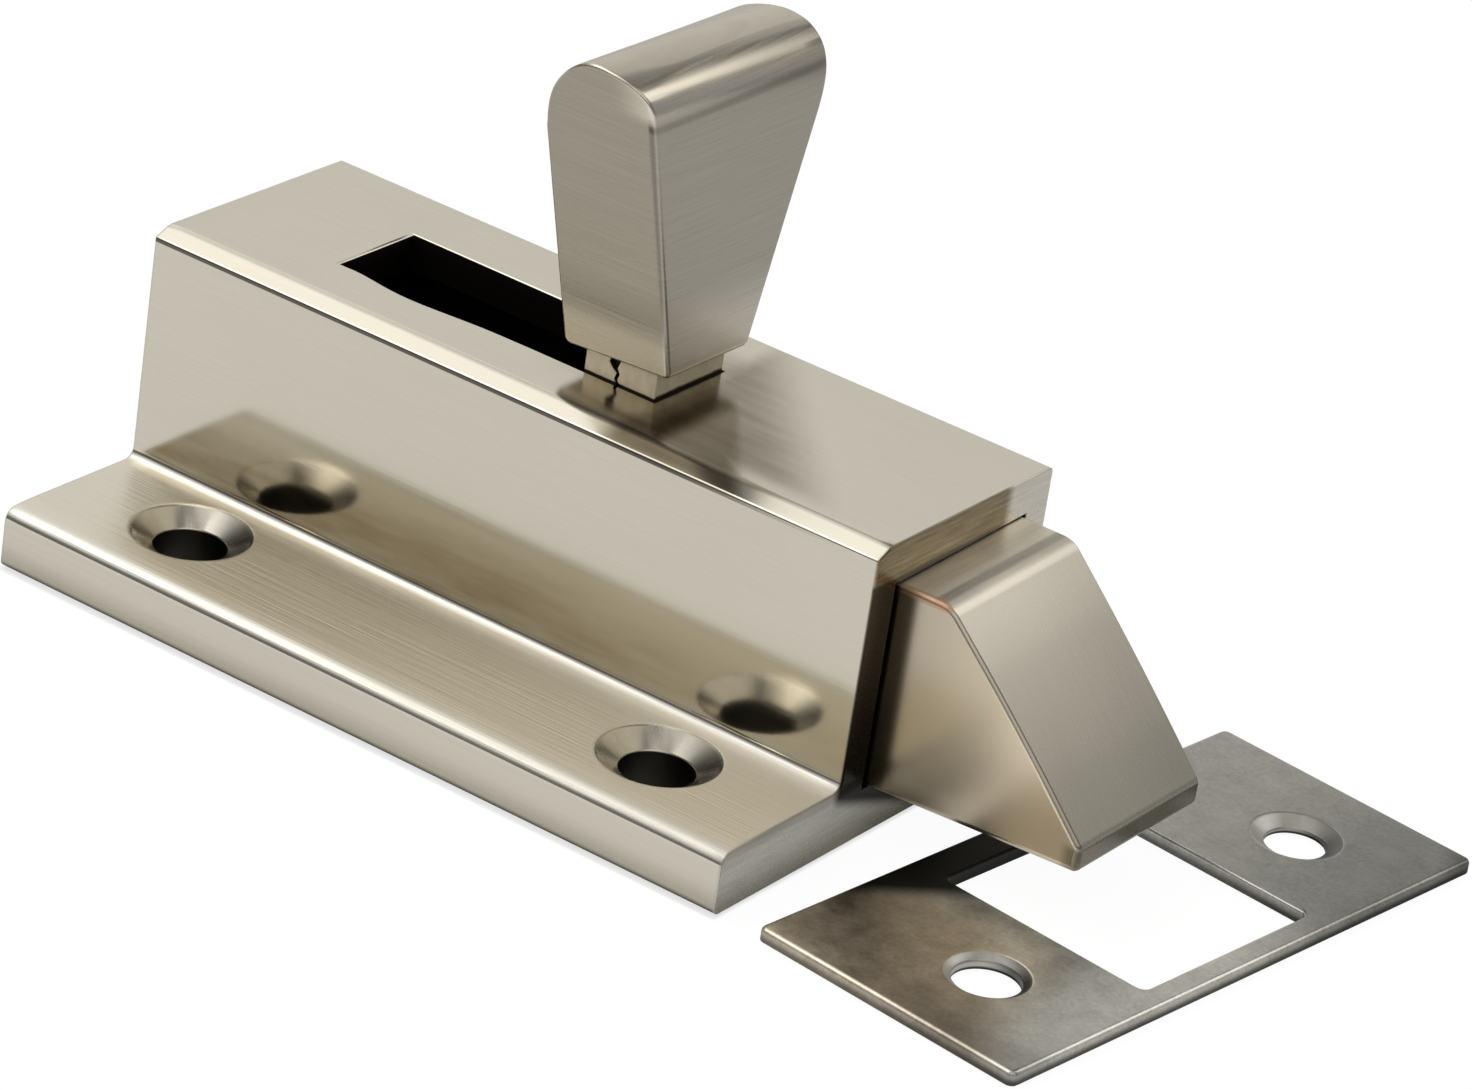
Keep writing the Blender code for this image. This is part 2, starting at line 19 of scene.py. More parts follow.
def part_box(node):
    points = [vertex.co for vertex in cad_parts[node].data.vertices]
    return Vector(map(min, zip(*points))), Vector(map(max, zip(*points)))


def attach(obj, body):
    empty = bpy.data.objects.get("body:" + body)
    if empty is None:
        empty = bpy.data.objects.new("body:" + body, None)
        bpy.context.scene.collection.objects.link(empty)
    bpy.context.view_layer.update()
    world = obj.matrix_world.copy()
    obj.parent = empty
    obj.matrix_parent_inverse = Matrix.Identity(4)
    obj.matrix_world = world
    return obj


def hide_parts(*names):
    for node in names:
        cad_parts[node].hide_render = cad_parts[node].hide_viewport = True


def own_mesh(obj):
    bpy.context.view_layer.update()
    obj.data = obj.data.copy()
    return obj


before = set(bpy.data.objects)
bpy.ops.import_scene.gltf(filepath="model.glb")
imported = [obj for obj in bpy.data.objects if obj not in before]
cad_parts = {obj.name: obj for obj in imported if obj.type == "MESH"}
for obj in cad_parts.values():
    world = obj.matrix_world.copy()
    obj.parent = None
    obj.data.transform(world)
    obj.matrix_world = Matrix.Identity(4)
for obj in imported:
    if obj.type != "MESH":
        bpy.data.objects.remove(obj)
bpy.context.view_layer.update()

log = logging.getLogger("spring_bolt")

MM = 0.001
SIDES = (-1, 1)
UPRIGHT = (0.0, 0.0, 1.0)
WHITE = (1.0, 1.0, 1.0)
Triple = tuple[float, float, float]
Pair = tuple[float, float]
Corner = tuple[float, float, float]
RadiusRule = Callable[[Vector], float]
Seam = tuple[Vector, Vector]


class Field:
    """A socket's value with arithmetic: an expression on fields adds its Math nodes."""

    def __init__(self, graph: "Graph", socket: bpy.types.NodeSocket) -> None:
        """Wrap one output socket of a graph's node."""
        self.graph = graph
        self.socket = socket

    @staticmethod
    def _operator(operation: str, swapped: bool = False) -> Callable[..., "Field"]:
        """Make the method of one arithmetic sign.

        Args:
            operation: Operation of the Math node that it adds.
            swapped: Whether this field stands on the right of the sign.

        Returns:
            The method.
        """

        def method(self: "Field", other: "Field | float" = 0.0) -> "Field":
            """Add the Math node."""
            return self.graph.math(operation, *((other, self) if swapped else (self, other)))

        return method

    __add__ = _operator("ADD")
    __radd__ = _operator("ADD", swapped=True)
    __sub__ = _operator("SUBTRACT")
    __rsub__ = _operator("SUBTRACT", swapped=True)
    __mul__ = _operator("MULTIPLY")
    __rmul__ = _operator("MULTIPLY", swapped=True)
    __truediv__ = _operator("DIVIDE")
    __rtruediv__ = _operator("DIVIDE", swapped=True)
    __mod__ = _operator("MODULO")
    __rmod__ = _operator("MODULO", swapped=True)
    __abs__ = _operator("ABSOLUTE")
    __lt__ = _operator("LESS_THAN")
    __gt__ = _operator("GREATER_THAN")
    greater = _operator("MAXIMUM")

    def rise(self, low: float, high: float, start: float = 0.0, end: float = 1.0) -> "Field":
        """Smooth step of this value.

        Args:
            low: Value at or below which the result is start.
            high: Value at or above which the result is end.
            start: Result at the low end.
            end: Result at the high end.

        Returns:
            The stepped value.
        """
        return self.graph.node(
            "ShaderNodeMapRange",
            {"interpolation_type": "SMOOTHSTEP"},
            {"Value": self, "From Min": low, "From Max": high, "To Min": start, "To Max": end},
        )

    def fall(self, low: float, high: float) -> "Field":
        """Smooth step down from one at low to nought at high."""
        return self.rise(low, high, 1.0, 0.0)

    def band(self, low: float, full: float, last: float, high: float) -> "Field":
        """One between full and last, fading to nought at low and at high."""
        return self.rise(low, full) * self.fall(last, high)

    def near(self, place: float, inner: float, outer: float) -> "Field":
        """One within inner of a place, fading to nought at outer."""
        return abs(self - place).fall(inner, outer)


class Graph:
    """A node tree under construction, with one way to add a node."""

    def __init__(self, tree: bpy.types.NodeTree) -> None:
        """Take the tree that nodes are added to."""
        self.tree = tree

    @staticmethod
    def pick(sockets: Sequence[bpy.types.NodeSocket], key: str) -> bpy.types.NodeSocket:
        """Find a socket by its identifier, or else by its name.

        Args:
            sockets: A node's inputs or outputs.
            key: Identifier or name.

        Returns:
            The socket.
        """
        for socket in sockets:
            if socket.identifier == key:
                return socket
        return sockets[key]

    def node(
        self,
        kind: str,
        settings: Mapping[str, object] | None = None,
        sockets: Mapping[str, object] | None = None,
        output: str | None = None,
    ) -> Field | None:
        """Add a node, its settings first, then the values or links of its sockets.

        Args:
            kind: Node type.
            settings: Properties of the node.
            sockets: Value, field or list of fields for each input, by identifier or name.
            output: Output to hand back, or None for the first one.

        Returns:
            The wanted output, or None for a node without outputs.
        """
        node = self.tree.nodes.new(kind)
        for key, value in (settings or {}).items():
            setattr(node, key, value)
        for key, value in (sockets or {}).items():
            socket = self.pick(node.inputs, key)
            for one in value if isinstance(value, list) else [value]:
                if isinstance(one, Field):
                    self.tree.links.new(one.socket, socket)
                elif socket.type == "RGBA" and len(one) == 3:
                    socket.default_value = (*one, 1.0)
                else:
                    socket.default_value = one
        if output:
            return Field(self, self.pick(node.outputs, output))
        return Field(self, node.outputs[0]) if node.outputs else None

    def math(self, operation: str, first: Field | float, second: Field | float = 0.0) -> Field:
        """Add one Math node, with a second value where its operation has one."""
        return self.node("ShaderNodeMath", {"operation": operation}, {"Value": first, "Value_001": second})

    def vector(self, operation: str, first: Field | Triple, second: Field | Triple) -> Field:
        """Add one Vector Math node with two vectors and hand back its vector."""
        sockets = {"Vector": first, "Vector_001": second}
        return self.node("ShaderNodeVectorMath", {"operation": operation}, sockets)

    def scale(self, vector: Field | Triple, factor: Field | float) -> Field:
        """Multiply a vector or colour by a number."""
        sockets = {"Vector": vector, "Scale": factor}
        return self.node("ShaderNodeVectorMath", {"operation": "SCALE"}, sockets)

    def length(self, first: Field, second: Field) -> Field:
        """Length of a flat vector from its two numbers."""
        return self.math("SQRT", first * first + second * second)

    def split(self, vector: Field) -> tuple[Field, Field, Field]:
        """Take a vector apart into its three numbers."""
        parts = self.node("ShaderNodeSeparateXYZ", {}, {"Vector": vector})
        return tuple(Field(self, socket) for socket in parts.socket.node.outputs)

    def join(self, x: Field | float, y: Field | float, z: Field | float) -> Field:
        """Put three numbers together into a vector."""
        return self.node("ShaderNodeCombineXYZ", {}, {"X": x, "Y": y, "Z": z})


class Surface(Graph):
    """A material's nodes, with the piece's own coordinates ready to use.

    The point itself is in metres, and x, y and z are its numbers in millimetres.
    """

    def __init__(self, name: str) -> None:
        """Start an empty material.

        Args:
            name: Its name.
        """
        self.material = bpy.data.materials.new(name)
        self.material.use_nodes = True
        super().__init__(self.material.node_tree)
        self.tree.nodes.clear()
        self.point = self.node("ShaderNodeTexCoord", output="Object")
        self.place = self.scale(self.point, 1 / MM)
        self.x, self.y, self.z = self.split(self.place)

    def noise(
        self, frequency: Triple, detail: float = 2.0, roughness: float = 0.5, at: Field | None = None
    ) -> Field:
        """Noise about nought, half up and half down, stretched along the axes.

        Args:
            frequency: Features along each axis, per metre or per unit of the point that is given.
            detail: Octaves beyond the first.
            roughness: Share of the finer octaves.
            at: Point to read, or None for the piece's own coordinates in metres.

        Returns:
            The noise.
        """
        stretched = self.vector("MULTIPLY", at or self.point, frequency)
        level = self.node(
            "ShaderNodeTexNoise",
            {"noise_dimensions": "3D"},
            {"Vector": stretched, "Scale": 1.0, "Detail": detail, "Roughness": roughness},
        )
        return level - 0.5

    def mix(self, factor: Field, first: Field | Triple, second: Field | Triple) -> Field:
        """Blend two colours.

        Args:
            factor: Share of the second colour.
            first: Colour at nought.
            second: Colour at one.

        Returns:
            The blended colour.
        """
        return self.node(
            "ShaderNodeMix",
            {"data_type": "RGBA"},
            {"Factor_Float": factor, "A_Color": first, "B_Color": second},
            "Result_Color",
        )

    def turned(self, centre: Triple, degrees: float) -> Field:
        """The place, in millimetres, in a frame that sits at centre and is turned about Z.

        Args:
            centre: Origin of the turned frame.
            degrees: Its turn, counter-clockwise.

        Returns:
            The place in that frame.
        """
        return self.node(
            "ShaderNodeVectorRotate",
            {"rotation_type": "AXIS_ANGLE"},
            {
                "Vector": self.vector("SUBTRACT", self.place, centre),
                "Axis": UPRIGHT,
                "Angle": -math.radians(degrees),
            },
        )


@dataclass
class Coat:
    """What a finish lays on a surface: colour, roughness, height of its fine relief and metal share."""

    colour: Field
    roughness: Field
    height: Field
    metal: Field | float = 1.0


class Brushing(Enum):
    """Directions of brushing, as features per metre along X, Y and Z."""

    LENGTHWISE = (110.0, 5600.0, 5600.0)
    LEVEL = (110.0, 110.0, 8200.0)
    DOWNSLOPE = (110.0, 5200.0, 110.0)
    EVEN = (2600.0, 2600.0, 2600.0)
    DRAWN = (300.0, 2500.0, 2500.0)


@dataclass(frozen=True)
class Finish:
    """A metal finish: a brushed skin with slow clouds in its tone and gloss.

    Subclasses add the marks of their own piece, whose places are in millimetres.
    """

    name: str
    colour: Triple
    roughness: float
    brushing: Brushing
    streak_tone: float = 0.10
    streak_gloss: float = 0.05
    cloud_size: float = 16 * MM
    cloud_tone: float = 0.06
    cloud_gloss: float = 0.05
    relief: float = 0.0012 * MM

    def material(self) -> bpy.types.Material:
        """Make the material.

        Returns:
            The finished material.
        """
        surface = Surface(self.name)
        coat = self.marks(surface, self.skin(surface))
        normal = surface.node("ShaderNodeBump", {}, {"Distance": self.relief, "Height": coat.height})
        shader = surface.node(
            "ShaderNodeBsdfPrincipled",
            {},
            {
                "Base Color": coat.colour,
                "Roughness": coat.roughness,
                "Metallic": coat.metal,
                "Normal": normal,
            },
        )
        surface.node("ShaderNodeOutputMaterial", {}, {"Surface": shader})
        return surface.material

    def skin(self, surface: Surface) -> Coat:
        """Lay the brushed skin.

        Args:
            surface: The material in the making.

        Returns:
            The skin before any marks.
        """
        streak = surface.noise(self.brushing.value, detail=3.0, roughness=0.6)
        cloud = surface.noise((1 / self.cloud_size,) * 3, detail=3.0)
        tone = 1 + streak * self.streak_tone + cloud * self.cloud_tone
        gloss = self.roughness + streak * self.streak_gloss + cloud * self.cloud_gloss
        return Coat(surface.scale(self.colour, tone), gloss, streak)

    def marks(self, surface: Surface, coat: Coat) -> Coat:
        """Add the marks of the piece; a plain finish has none."""
        return coat


@dataclass(frozen=True)
class CaseNickel(Finish):
    """Satin nickel on the case, with a channel painted dark as shade and plain sawn ends."""

    half_length: float = 30.0
    half_width: float = 9.85
    span: float = 22.6
    channel_half: float = 7.35
    channel_low: float = 3.6
    channel_high: float = 18.38
    tilt: float = 0.026
    slot_half: float = 4.65
    flange: float = 4.4
    top: float = 21.4
    shoulder: float = 20.62
    edge: float = 0.05
    neck_x: float = 4.65
    neck_reach: float = 2.9
    neck_half: float = 3.75
    dark: Triple = (0.035, 0.030, 0.022)
    sawn: Triple = (0.74, 0.72, 0.65)
    painted_highlight: Triple = (0.9, 0.88, 0.82)
    lintel: Triple = (0.28, 0.23, 0.15)
    grime_and_shade: Triple = (0.33, 0.28, 0.195)
    jamb_shade: Triple = (0.06, 0.049, 0.034)
    warm: Triple = (1.0, 0.92, 0.76)

    def marks(self, surface: Surface, coat: Coat) -> Coat:
        """Paint shade into the channel, the slot and the jambs, paint light and shade on the flanges and
        the top, leave the ends sawn and the flanges more matt.

        Args:
            surface: The material in the making.
            coat: The brushed skin.

        Returns:
            The skin with the case's marks.
        """
        x, z = surface.x, surface.z
        inside = self.inside(surface)
        ends = abs(x).rise(self.half_length - 5 * self.edge, self.half_length - self.edge)
        bed = z.band(self.flange - 0.8, self.flange - 0.2, self.flange + 0.1, self.flange + 0.5)
        crest = z.rise(self.top - 1.0, self.top - 0.3)
        # Painted shade and dark reflection of the knob on the top, beside its neck.
        shade = crest * self.beside_knob(surface)
        saw = surface.noise((200.0, 260.0, 4200.0))
        colour = self.sawn_ends(surface, coat.colour, ends, saw)
        colour = self.flange_sheen(surface, colour, bed, ends)
        # The band along the wall's foot, the painted shade round the neck and the knob's painted shade,
        # mixed towards one brown.
        soil_and_shade = (self.wall_foot(surface) * (1 - ends)).greater(crest * self.round_neck(surface) * 0.7)
        smear = surface.noise((160.0, 900.0, 900.0), detail=3.0)
        colour = surface.mix(soil_and_shade.greater(shade * 0.8) * (0.95 + smear), colour, self.grime_and_shade)
        # Painted contact shade along the case's bottom edge.
        foot_shade = z.fall(0.12, 0.6) * (1 - ends)
        tone = (1 - foot_shade * 0.75) * (1 - shade * 0.3) * (1 - self.shoulder_line(surface) * 0.8)
        # Painted shade: the channel and the slot are painted near black.
        colour = surface.mix(inside, surface.scale(colour, tone), self.dark)
        roughness = coat.roughness + ends * 0.16 + inside * 0.4 + bed * 0.24 + crest * 0.07
        dull = bed * (1 - ends) * x.rise(-28.0, 26.0, 0.15, 0.7)
        return Coat(colour, roughness, coat.height * (1 + bed * 24) + ends * saw, 1 - dull)

    def inside(self, surface: Surface) -> Field:
        """One in the channel and in the slot above it.

        Args:
            surface: The material in the making.

        Returns:
            The mask.
        """
        edge, aside, z = self.edge, abs(surface.y), surface.z
        roof = self.channel_high + (surface.y + self.channel_half) * self.tilt
        bore = (aside < self.channel_half + edge) * (z > self.channel_low - edge) * (z < roof + edge)
        slit = (aside < self.slot_half + edge / 2) * (z < self.top - 3 * edge) * (z > self.channel_low)
        return bore.greater(slit) * (abs(surface.x) < self.half_length - 2 * edge)

    def sawn_ends(self, surface: Surface, colour: Field, ends: Field, saw: Field) -> Field:
        """Leave the ends sawn and painted darker towards the near side, with a painted brown dark
        reflection on the lintel and painted shade on the near jamb at the front.

        Args:
            surface: The material in the making.
            colour: Colour so far.
            ends: One on the two end faces.
            saw: Noise along the saw's cut.

        Returns:
            The colour with the ends.
        """
        y, z, roof = surface.y, surface.z, self.channel_high
        front = surface.x.rise(0.0, 1.0)
        # Painted dark reflection on the lintel above the channel, at the front end.
        lintel = front * z.rise(roof - 0.2, roof + 0.2) * y.fall(4.4, 5.6)
        # Painted shade: the sawn faces darker towards the near side.
        plain = surface.scale(self.sawn, y.rise(-8.0, 4.0, 0.8, 1.0))
        face = surface.scale(surface.mix(lintel, plain, self.lintel), 1 + saw * (0.4 + lintel * 0.9))
        colour = surface.mix(ends, colour, face)
        # Painted shade on the near jamb beside the bolt, darker towards the bottom.
        jamb = front * ends * abs(y).fall(self.half_width, self.half_width + 1.0) * y.fall(3.0, 5.5)
        jamb = jamb * (z + (y + 7.0) * 0.33).rise(1.9, 3.0) * z.fall(roof + 0.3, roof + 0.8)
        return surface.mix(jamb, colour, surface.scale(self.jamb_shade, z.rise(4.0, 17.0, 0.25, 1.3)))

    def flange_sheen(self, surface: Surface, colour: Field, bed: Field, ends: Field) -> Field:
        """Warm the flanges and brighten them with painted light, and put painted highlights on their lips
        and roots.

        Args:
            surface: The material in the making.
            colour: Colour so far.
            bed: One on the flanges' upper faces.
            ends: One on the two end faces.

        Returns:
            The colour with the flanges.
        """
        x, aside, z, level = surface.x, abs(surface.y), surface.z, self.flange
        tan = bed * (1 - ends) * aside.rise(self.half_width + 0.8, self.half_width + 3.0)
        tan = tan * x.rise(-28.0, -16.0)
        colour = surface.mix(tan * 0.5, colour, surface.vector("MULTIPLY", colour, self.warm))
        # Painted light: the flanges brighter towards the front end and at the rear end.
        sheen = x.rise(-20.0, 26.0, 0.06, 0.22) + x.fall(-25.0, -20.0) * 0.12
        colour = surface.scale(colour, 1 + bed * sheen)
        # Painted highlights along the root of the walls and the flanges' outer lips.
        root = z.band(level, level + 0.1, level + 0.5, level + 0.7)
        lip = aside.rise(self.span - 1.5, self.span - 0.9) * z.rise(level - 1.0, level - 0.6)
        return surface.mix(root.greater(lip) * (1 - ends) * 0.6, colour, self.painted_highlight)

    def wall_foot(self, surface: Surface) -> Field:
        """A darker, browner band along the foot of the walls, less towards the front.

        Args:
            surface: The material in the making.

        Returns:
            The mask.
        """
        x, z, level = surface.x, surface.z, self.flange
        foot = z.band(level + 0.25, level + 0.6, level + 2.0, level + 7.5)
        rear = x + 28.2 - (z - 5.7) * 1.24
        return foot * x.rise(0.0, 26.0, 0.85, 0.3) * rear.rise(-0.6, 0.6)

    def round_neck(self, surface: Surface) -> Field:
        """Painted shade round the neck's foot, mostly in front of it.

        Args:
            surface: The material in the making.

        Returns:
            The mask.
        """
        x, y = surface.x, surface.y
        away = (abs(x - self.neck_x) - self.neck_reach).greater(abs(y) - self.neck_half)
        return away.fall(0.4, 4.0) * x.rise(1.0, 7.0, 0.2, 1.0) * y.rise(-8.0, -4.0, 0.2, 1.0)

    def beside_knob(self, surface: Surface) -> Field:
        """Painted shade and dark reflection of the knob on the top: a patch that runs slantwise from the
        knob towards the front.

        Args:
            surface: The material in the making.

        Returns:
            The mask.
        """
        x, y = surface.x, surface.y
        clear = x + y * 0.905 - 11.05
        edge = y.rise(-8.0, -6.0, 0.15, 1.0).greater(clear.fall(-2.0, 0.0))
        return x.rise(7.0, 9.0) * clear.fall(0.5, 8.5) * edge

    def shoulder_line(self, surface: Surface) -> Field:
        """Mask of a thin painted dark reflection line under the near top edge, fading towards the front."""
        line = surface.z.near(self.shoulder, 0.1, 0.17) * surface.x.fall(12.0, 28.0)
        return line * surface.y.fall(0.1 - self.half_width, 0.2 - self.half_width)


@dataclass(frozen=True)
class SinkNickel(Finish):
    """Turned nickel in a countersink: rings from the tool, radial chatter, painted shade on one side and in
    the bore.
    """

    centre: Triple = (0.0, 0.0, 0.0)
    turn: float = 0.0
    reach_along: float = 0.0
    reach_across: float = 0.0
    bottom: float = 3.38
    shine: float = 1.2
    shade: float = 0.72

    def marks(self, surface: Surface, coat: Coat) -> Coat:
        """Add rings, chatter, painted shade on one side and painted shade in the bore.

        Args:
            surface: The material in the making.
            coat: The brushed skin.

        Returns:
            The turned skin.
        """
        along, across, _ = surface.split(surface.turned(self.centre, self.turn))
        u = surface.math("SIGN", along) * (abs(along) - self.reach_along)
        v = surface.math("SIGN", across) * (abs(across) - self.reach_across)
        radius = surface.length(u, v)
        # Painted shade on one side of the cone.
        shaded_side = ((u * 0.86 + v * 0.5) / radius).rise(-0.35, 0.6)
        angle = surface.math("ARCTAN2", v, u)
        rings = surface.noise((7.0, 0.0, 0.0), at=surface.join(radius, 0.0, 0.0))
        chatter = surface.noise((6.0, 0.4, 0.0), detail=3.0, at=surface.join(angle, radius, 0.0))
        # Painted shade in the bore.
        bore = surface.z.fall(self.bottom - 0.15, self.bottom)
        tone = (self.shine + rings * 0.25 + chatter * 0.3) * (1 - bore * 0.88) * (1 - shaded_side * self.shade)
        colour = surface.scale(self.colour, tone)
        return Coat(colour, coat.roughness + chatter * 0.2 + bore * 0.15, rings)


@dataclass(frozen=True)
class BoltNickel(Finish):
    """Satin nickel on the bolt, rubbed through to the base metal along its near top edge."""

    half_width: float = 7.05
    top: float = 18.3
    tilt: float = 0.026
    worn_from: float = 31.0
    copper: Triple = (0.62, 0.36, 0.22)
    brown: Triple = (0.72, 0.61, 0.45)
    mouth_shade: Triple = (0.26, 0.215, 0.15)
    plain: Triple = (0.45, 0.37, 0.24)

    def marks(self, surface: Surface, coat: Coat) -> Coat:
        """Wear the long edges, paint light and shade on the sides, the tip and the top, and leave what is
        inside the case plain.

        Args:
            surface: The material in the making.
            coat: The brushed skin.

        Returns:
            The skin with the bolt's wear.
        """
        x, y, z = surface.x, surface.y, surface.z
        rub = self.near_edge(surface)
        hidden = x.fall(28.0, 30.0) * 0.8
        side = abs(y).rise(self.half_width - 0.15, self.half_width - 0.02)
        level = (z - (self.top + (y + self.half_width) * self.tilt)).rise(-0.25, -0.08)
        # Painted light: the side faces darker near the case's mouth and lighter towards the tip.
        flank = surface.scale(self.brown, x.rise(32.0, 43.5, 0.72, 1.7))
        face = surface.scale(coat.colour, self.bevel_tone(surface, level))
        colour = surface.mix(side * 0.6, face, flank)
        # Painted shade on the tip face.
        tip = x.rise(44.6, 45.6) * z.fall(5.8, 6.4)
        colour = surface.scale(colour, 1 - tip * 0.5)
        # Painted shade and dark reflection on the sides next to the case's mouth and on their lower part
        # near it.
        dirt_and_shade = x.fall(31.0, 31.9).greater(z.fall(4.2, 5.6) * x.fall(32.0, 40.0) * 0.6)
        colour = surface.mix(side * dirt_and_shade, colour, self.mouth_shade)
        colour = surface.mix(hidden, colour, self.plain)
        colour = surface.mix(rub * 0.75, colour, self.copper)
        roughness = coat.roughness + rub * 0.08 + hidden * 0.15 - side * 0.03 + level * 0.13
        return Coat(colour, roughness, coat.height)

    def near_edge(self, surface: Surface) -> Field:
        """The ragged strip along the near top edge where the plate is worn off.

        Args:
            surface: The material in the making.

        Returns:
            The mask.
        """
        depth = (surface.z - self.top - surface.y - self.half_width) * math.sqrt(0.5)
        ragged = surface.noise((260.0, 900.0, 900.0), detail=3.0) * 0.3
        return (depth + ragged).rise(-0.42, -0.2) * surface.x.rise(self.worn_from - 2.0, self.worn_from)

    def bevel_tone(self, surface: Surface, level: Field) -> Field:
        """Painted light on the bevel and the flat top: the bevel darker towards the tip and the far side,
        the flat above it brighter, more so away from its near edge, and rippled, with a painted dark
        reflection band near the bend.

        Args:
            surface: The material in the making.
            level: One on the flat top.

        Returns:
            The tone.
        """
        x, y = surface.x, surface.y
        slope = x.rise(34.5, 38.5, 1.06, 0.88) * x.rise(41.0, 46.0, 1.0, 0.85) * y.rise(-2.0, 7.0, 1.0, 0.9)
        ripple = surface.noise((2400.0, 140.0, 140.0), detail=3.0)
        # Painted light on the flat top; the band near the bend is a painted dark reflection.
        painted_light = y.rise(-6.5, 0.0, 0.2, 0.36)
        return slope * (1 + level * (ripple * 0.5 + painted_light - x.near(33.05, 0.2, 0.6) * 0.6))


@dataclass(frozen=True)
class KnobNickel(Finish):
    """Satin nickel on the paddle, with a plain brassy neck below it."""

    foot: float = 23.2
    crown: float = 41.85
    crown_x: float = 3.4
    crown_radius: float = 4.44
    near_edge: float = -4.3
    near_slope: float = -0.245
    broad_slope: float = -0.0545
    neck_x: float = 4.65
    seam: float = 21.4
    neck: Triple = (1.0, 0.88, 0.66)
    cool: Triple = (0.98, 1.0, 1.07)
    dirt_and_shade: Triple = (0.025, 0.02, 0.014)

    def marks(self, surface: Surface, coat: Coat) -> Coat:
        """Paint light and shade on the crown and the broad face, a painted highlight on the crown's near
        rim and dark lines on the arris, and leave the neck brassy and rough.

        Args:
            surface: The material in the making.
            coat: The brushed skin.

        Returns:
            The skin with the knob's marks.
        """
        x, y, z = surface.x, surface.y, surface.z
        rise = z - self.foot
        low = z.fall(self.foot - 0.15, self.foot + 0.05)
        grain = surface.noise((1500.0, 1500.0, 700.0), detail=4.0)
        crest = z.rise(self.crown, self.crown + 1.0)
        inset = y - self.near_edge - rise * self.near_slope
        broad = (x - rise * self.broad_slope).rise(8.4, 8.7)
        # Painted light and shade: the crown's stripes, the broad face lighter low down and darker just
        # below the crown, dark lines along the arris and the near face's edge, and a painted highlight
        # along the crown's near rim.
        tone = 1 + crest * inset.rise(0.15, 0.4) * self.crown_tone(surface)
        arris = inset.fall(0.05, 0.14) * broad * (1 - crest)
        bright = (1 - crest) * 0.1 + z.fall(24.5, 30.0) * 0.5
        tone = tone + broad * (bright - z.near(self.crown, 0.1, 0.4) * 0.3) - arris * 0.55
        tone = tone - inset.fall(0.05, 0.12) * (1 - broad) * (z.fall(24.0, 31.0) * 0.22 + 0.12)
        tone = tone + inset.band(0.02, 0.08, 0.2, 0.34) * crest * 0.8
        # A cool tint on the broad face: a painted reflection of the cooler floor behind.
        tint = surface.mix(broad, coat.colour, surface.vector("MULTIPLY", coat.colour, self.cool))
        colour = surface.scale(tint, tone)
        colour = surface.mix(low, colour, surface.scale(self.neck, 1 + grain * 0.5))
        # Painted shade, with some soiling, in the neck's crack and the seam at its foot.
        colour = surface.mix(low * self.neck_dirt_and_shade(surface, grain), colour, self.dirt_and_shade)
        roughness = coat.roughness + low * (0.2 + grain * 0.2) - crest * 0.05
        return Coat(colour, roughness, coat.height + low * grain, 1 - low * 0.8)

    def crown_tone(self, surface: Surface) -> Field:
        """Painted reflection: light and dark stripes along the rounded crown.

        Args:
            surface: The material in the making.

        Returns:
            What they add to the tone.
        """
        y = surface.y
        across = (surface.x - self.crown_x) / self.crown_radius
        line = y.rise(-9.0, 10.0, 0.59, 0.41)
        wedge = (abs(across - line) / y.rise(-9.0, -3.0, 0.24, 0.07)).fall(0.4, 1.1)
        wedge = wedge * y.rise(-6.0, 6.0, 0.45, 0.25)
        belly = across.near(0.74, 0.08, 0.2) * y.rise(-7.0, 9.0, 0.3, -0.25)
        return 0.33 + across.rise(0.7, 0.95) * 0.2 + belly - wedge

    def neck_dirt_and_shade(self, surface: Surface, grain: Field) -> Field:
        """Painted shade, with some soiling, in the neck's crack and in the seam round its foot.

        Args:
            surface: The material in the making.
            grain: Fine noise that makes the seam ragged.

        Returns:
            The mask.
        """
        y = surface.y
        crack = (abs(surface.x - self.neck_x) < 2.75) * (y > -3.7) * (y < 0.0)
        width = y.rise(-3.74, -3.6, 0.45, 1.0) * (1 + grain * 0.8)
        return crack.greater(((surface.z - self.seam) / width).fall(0.12, 0.38))


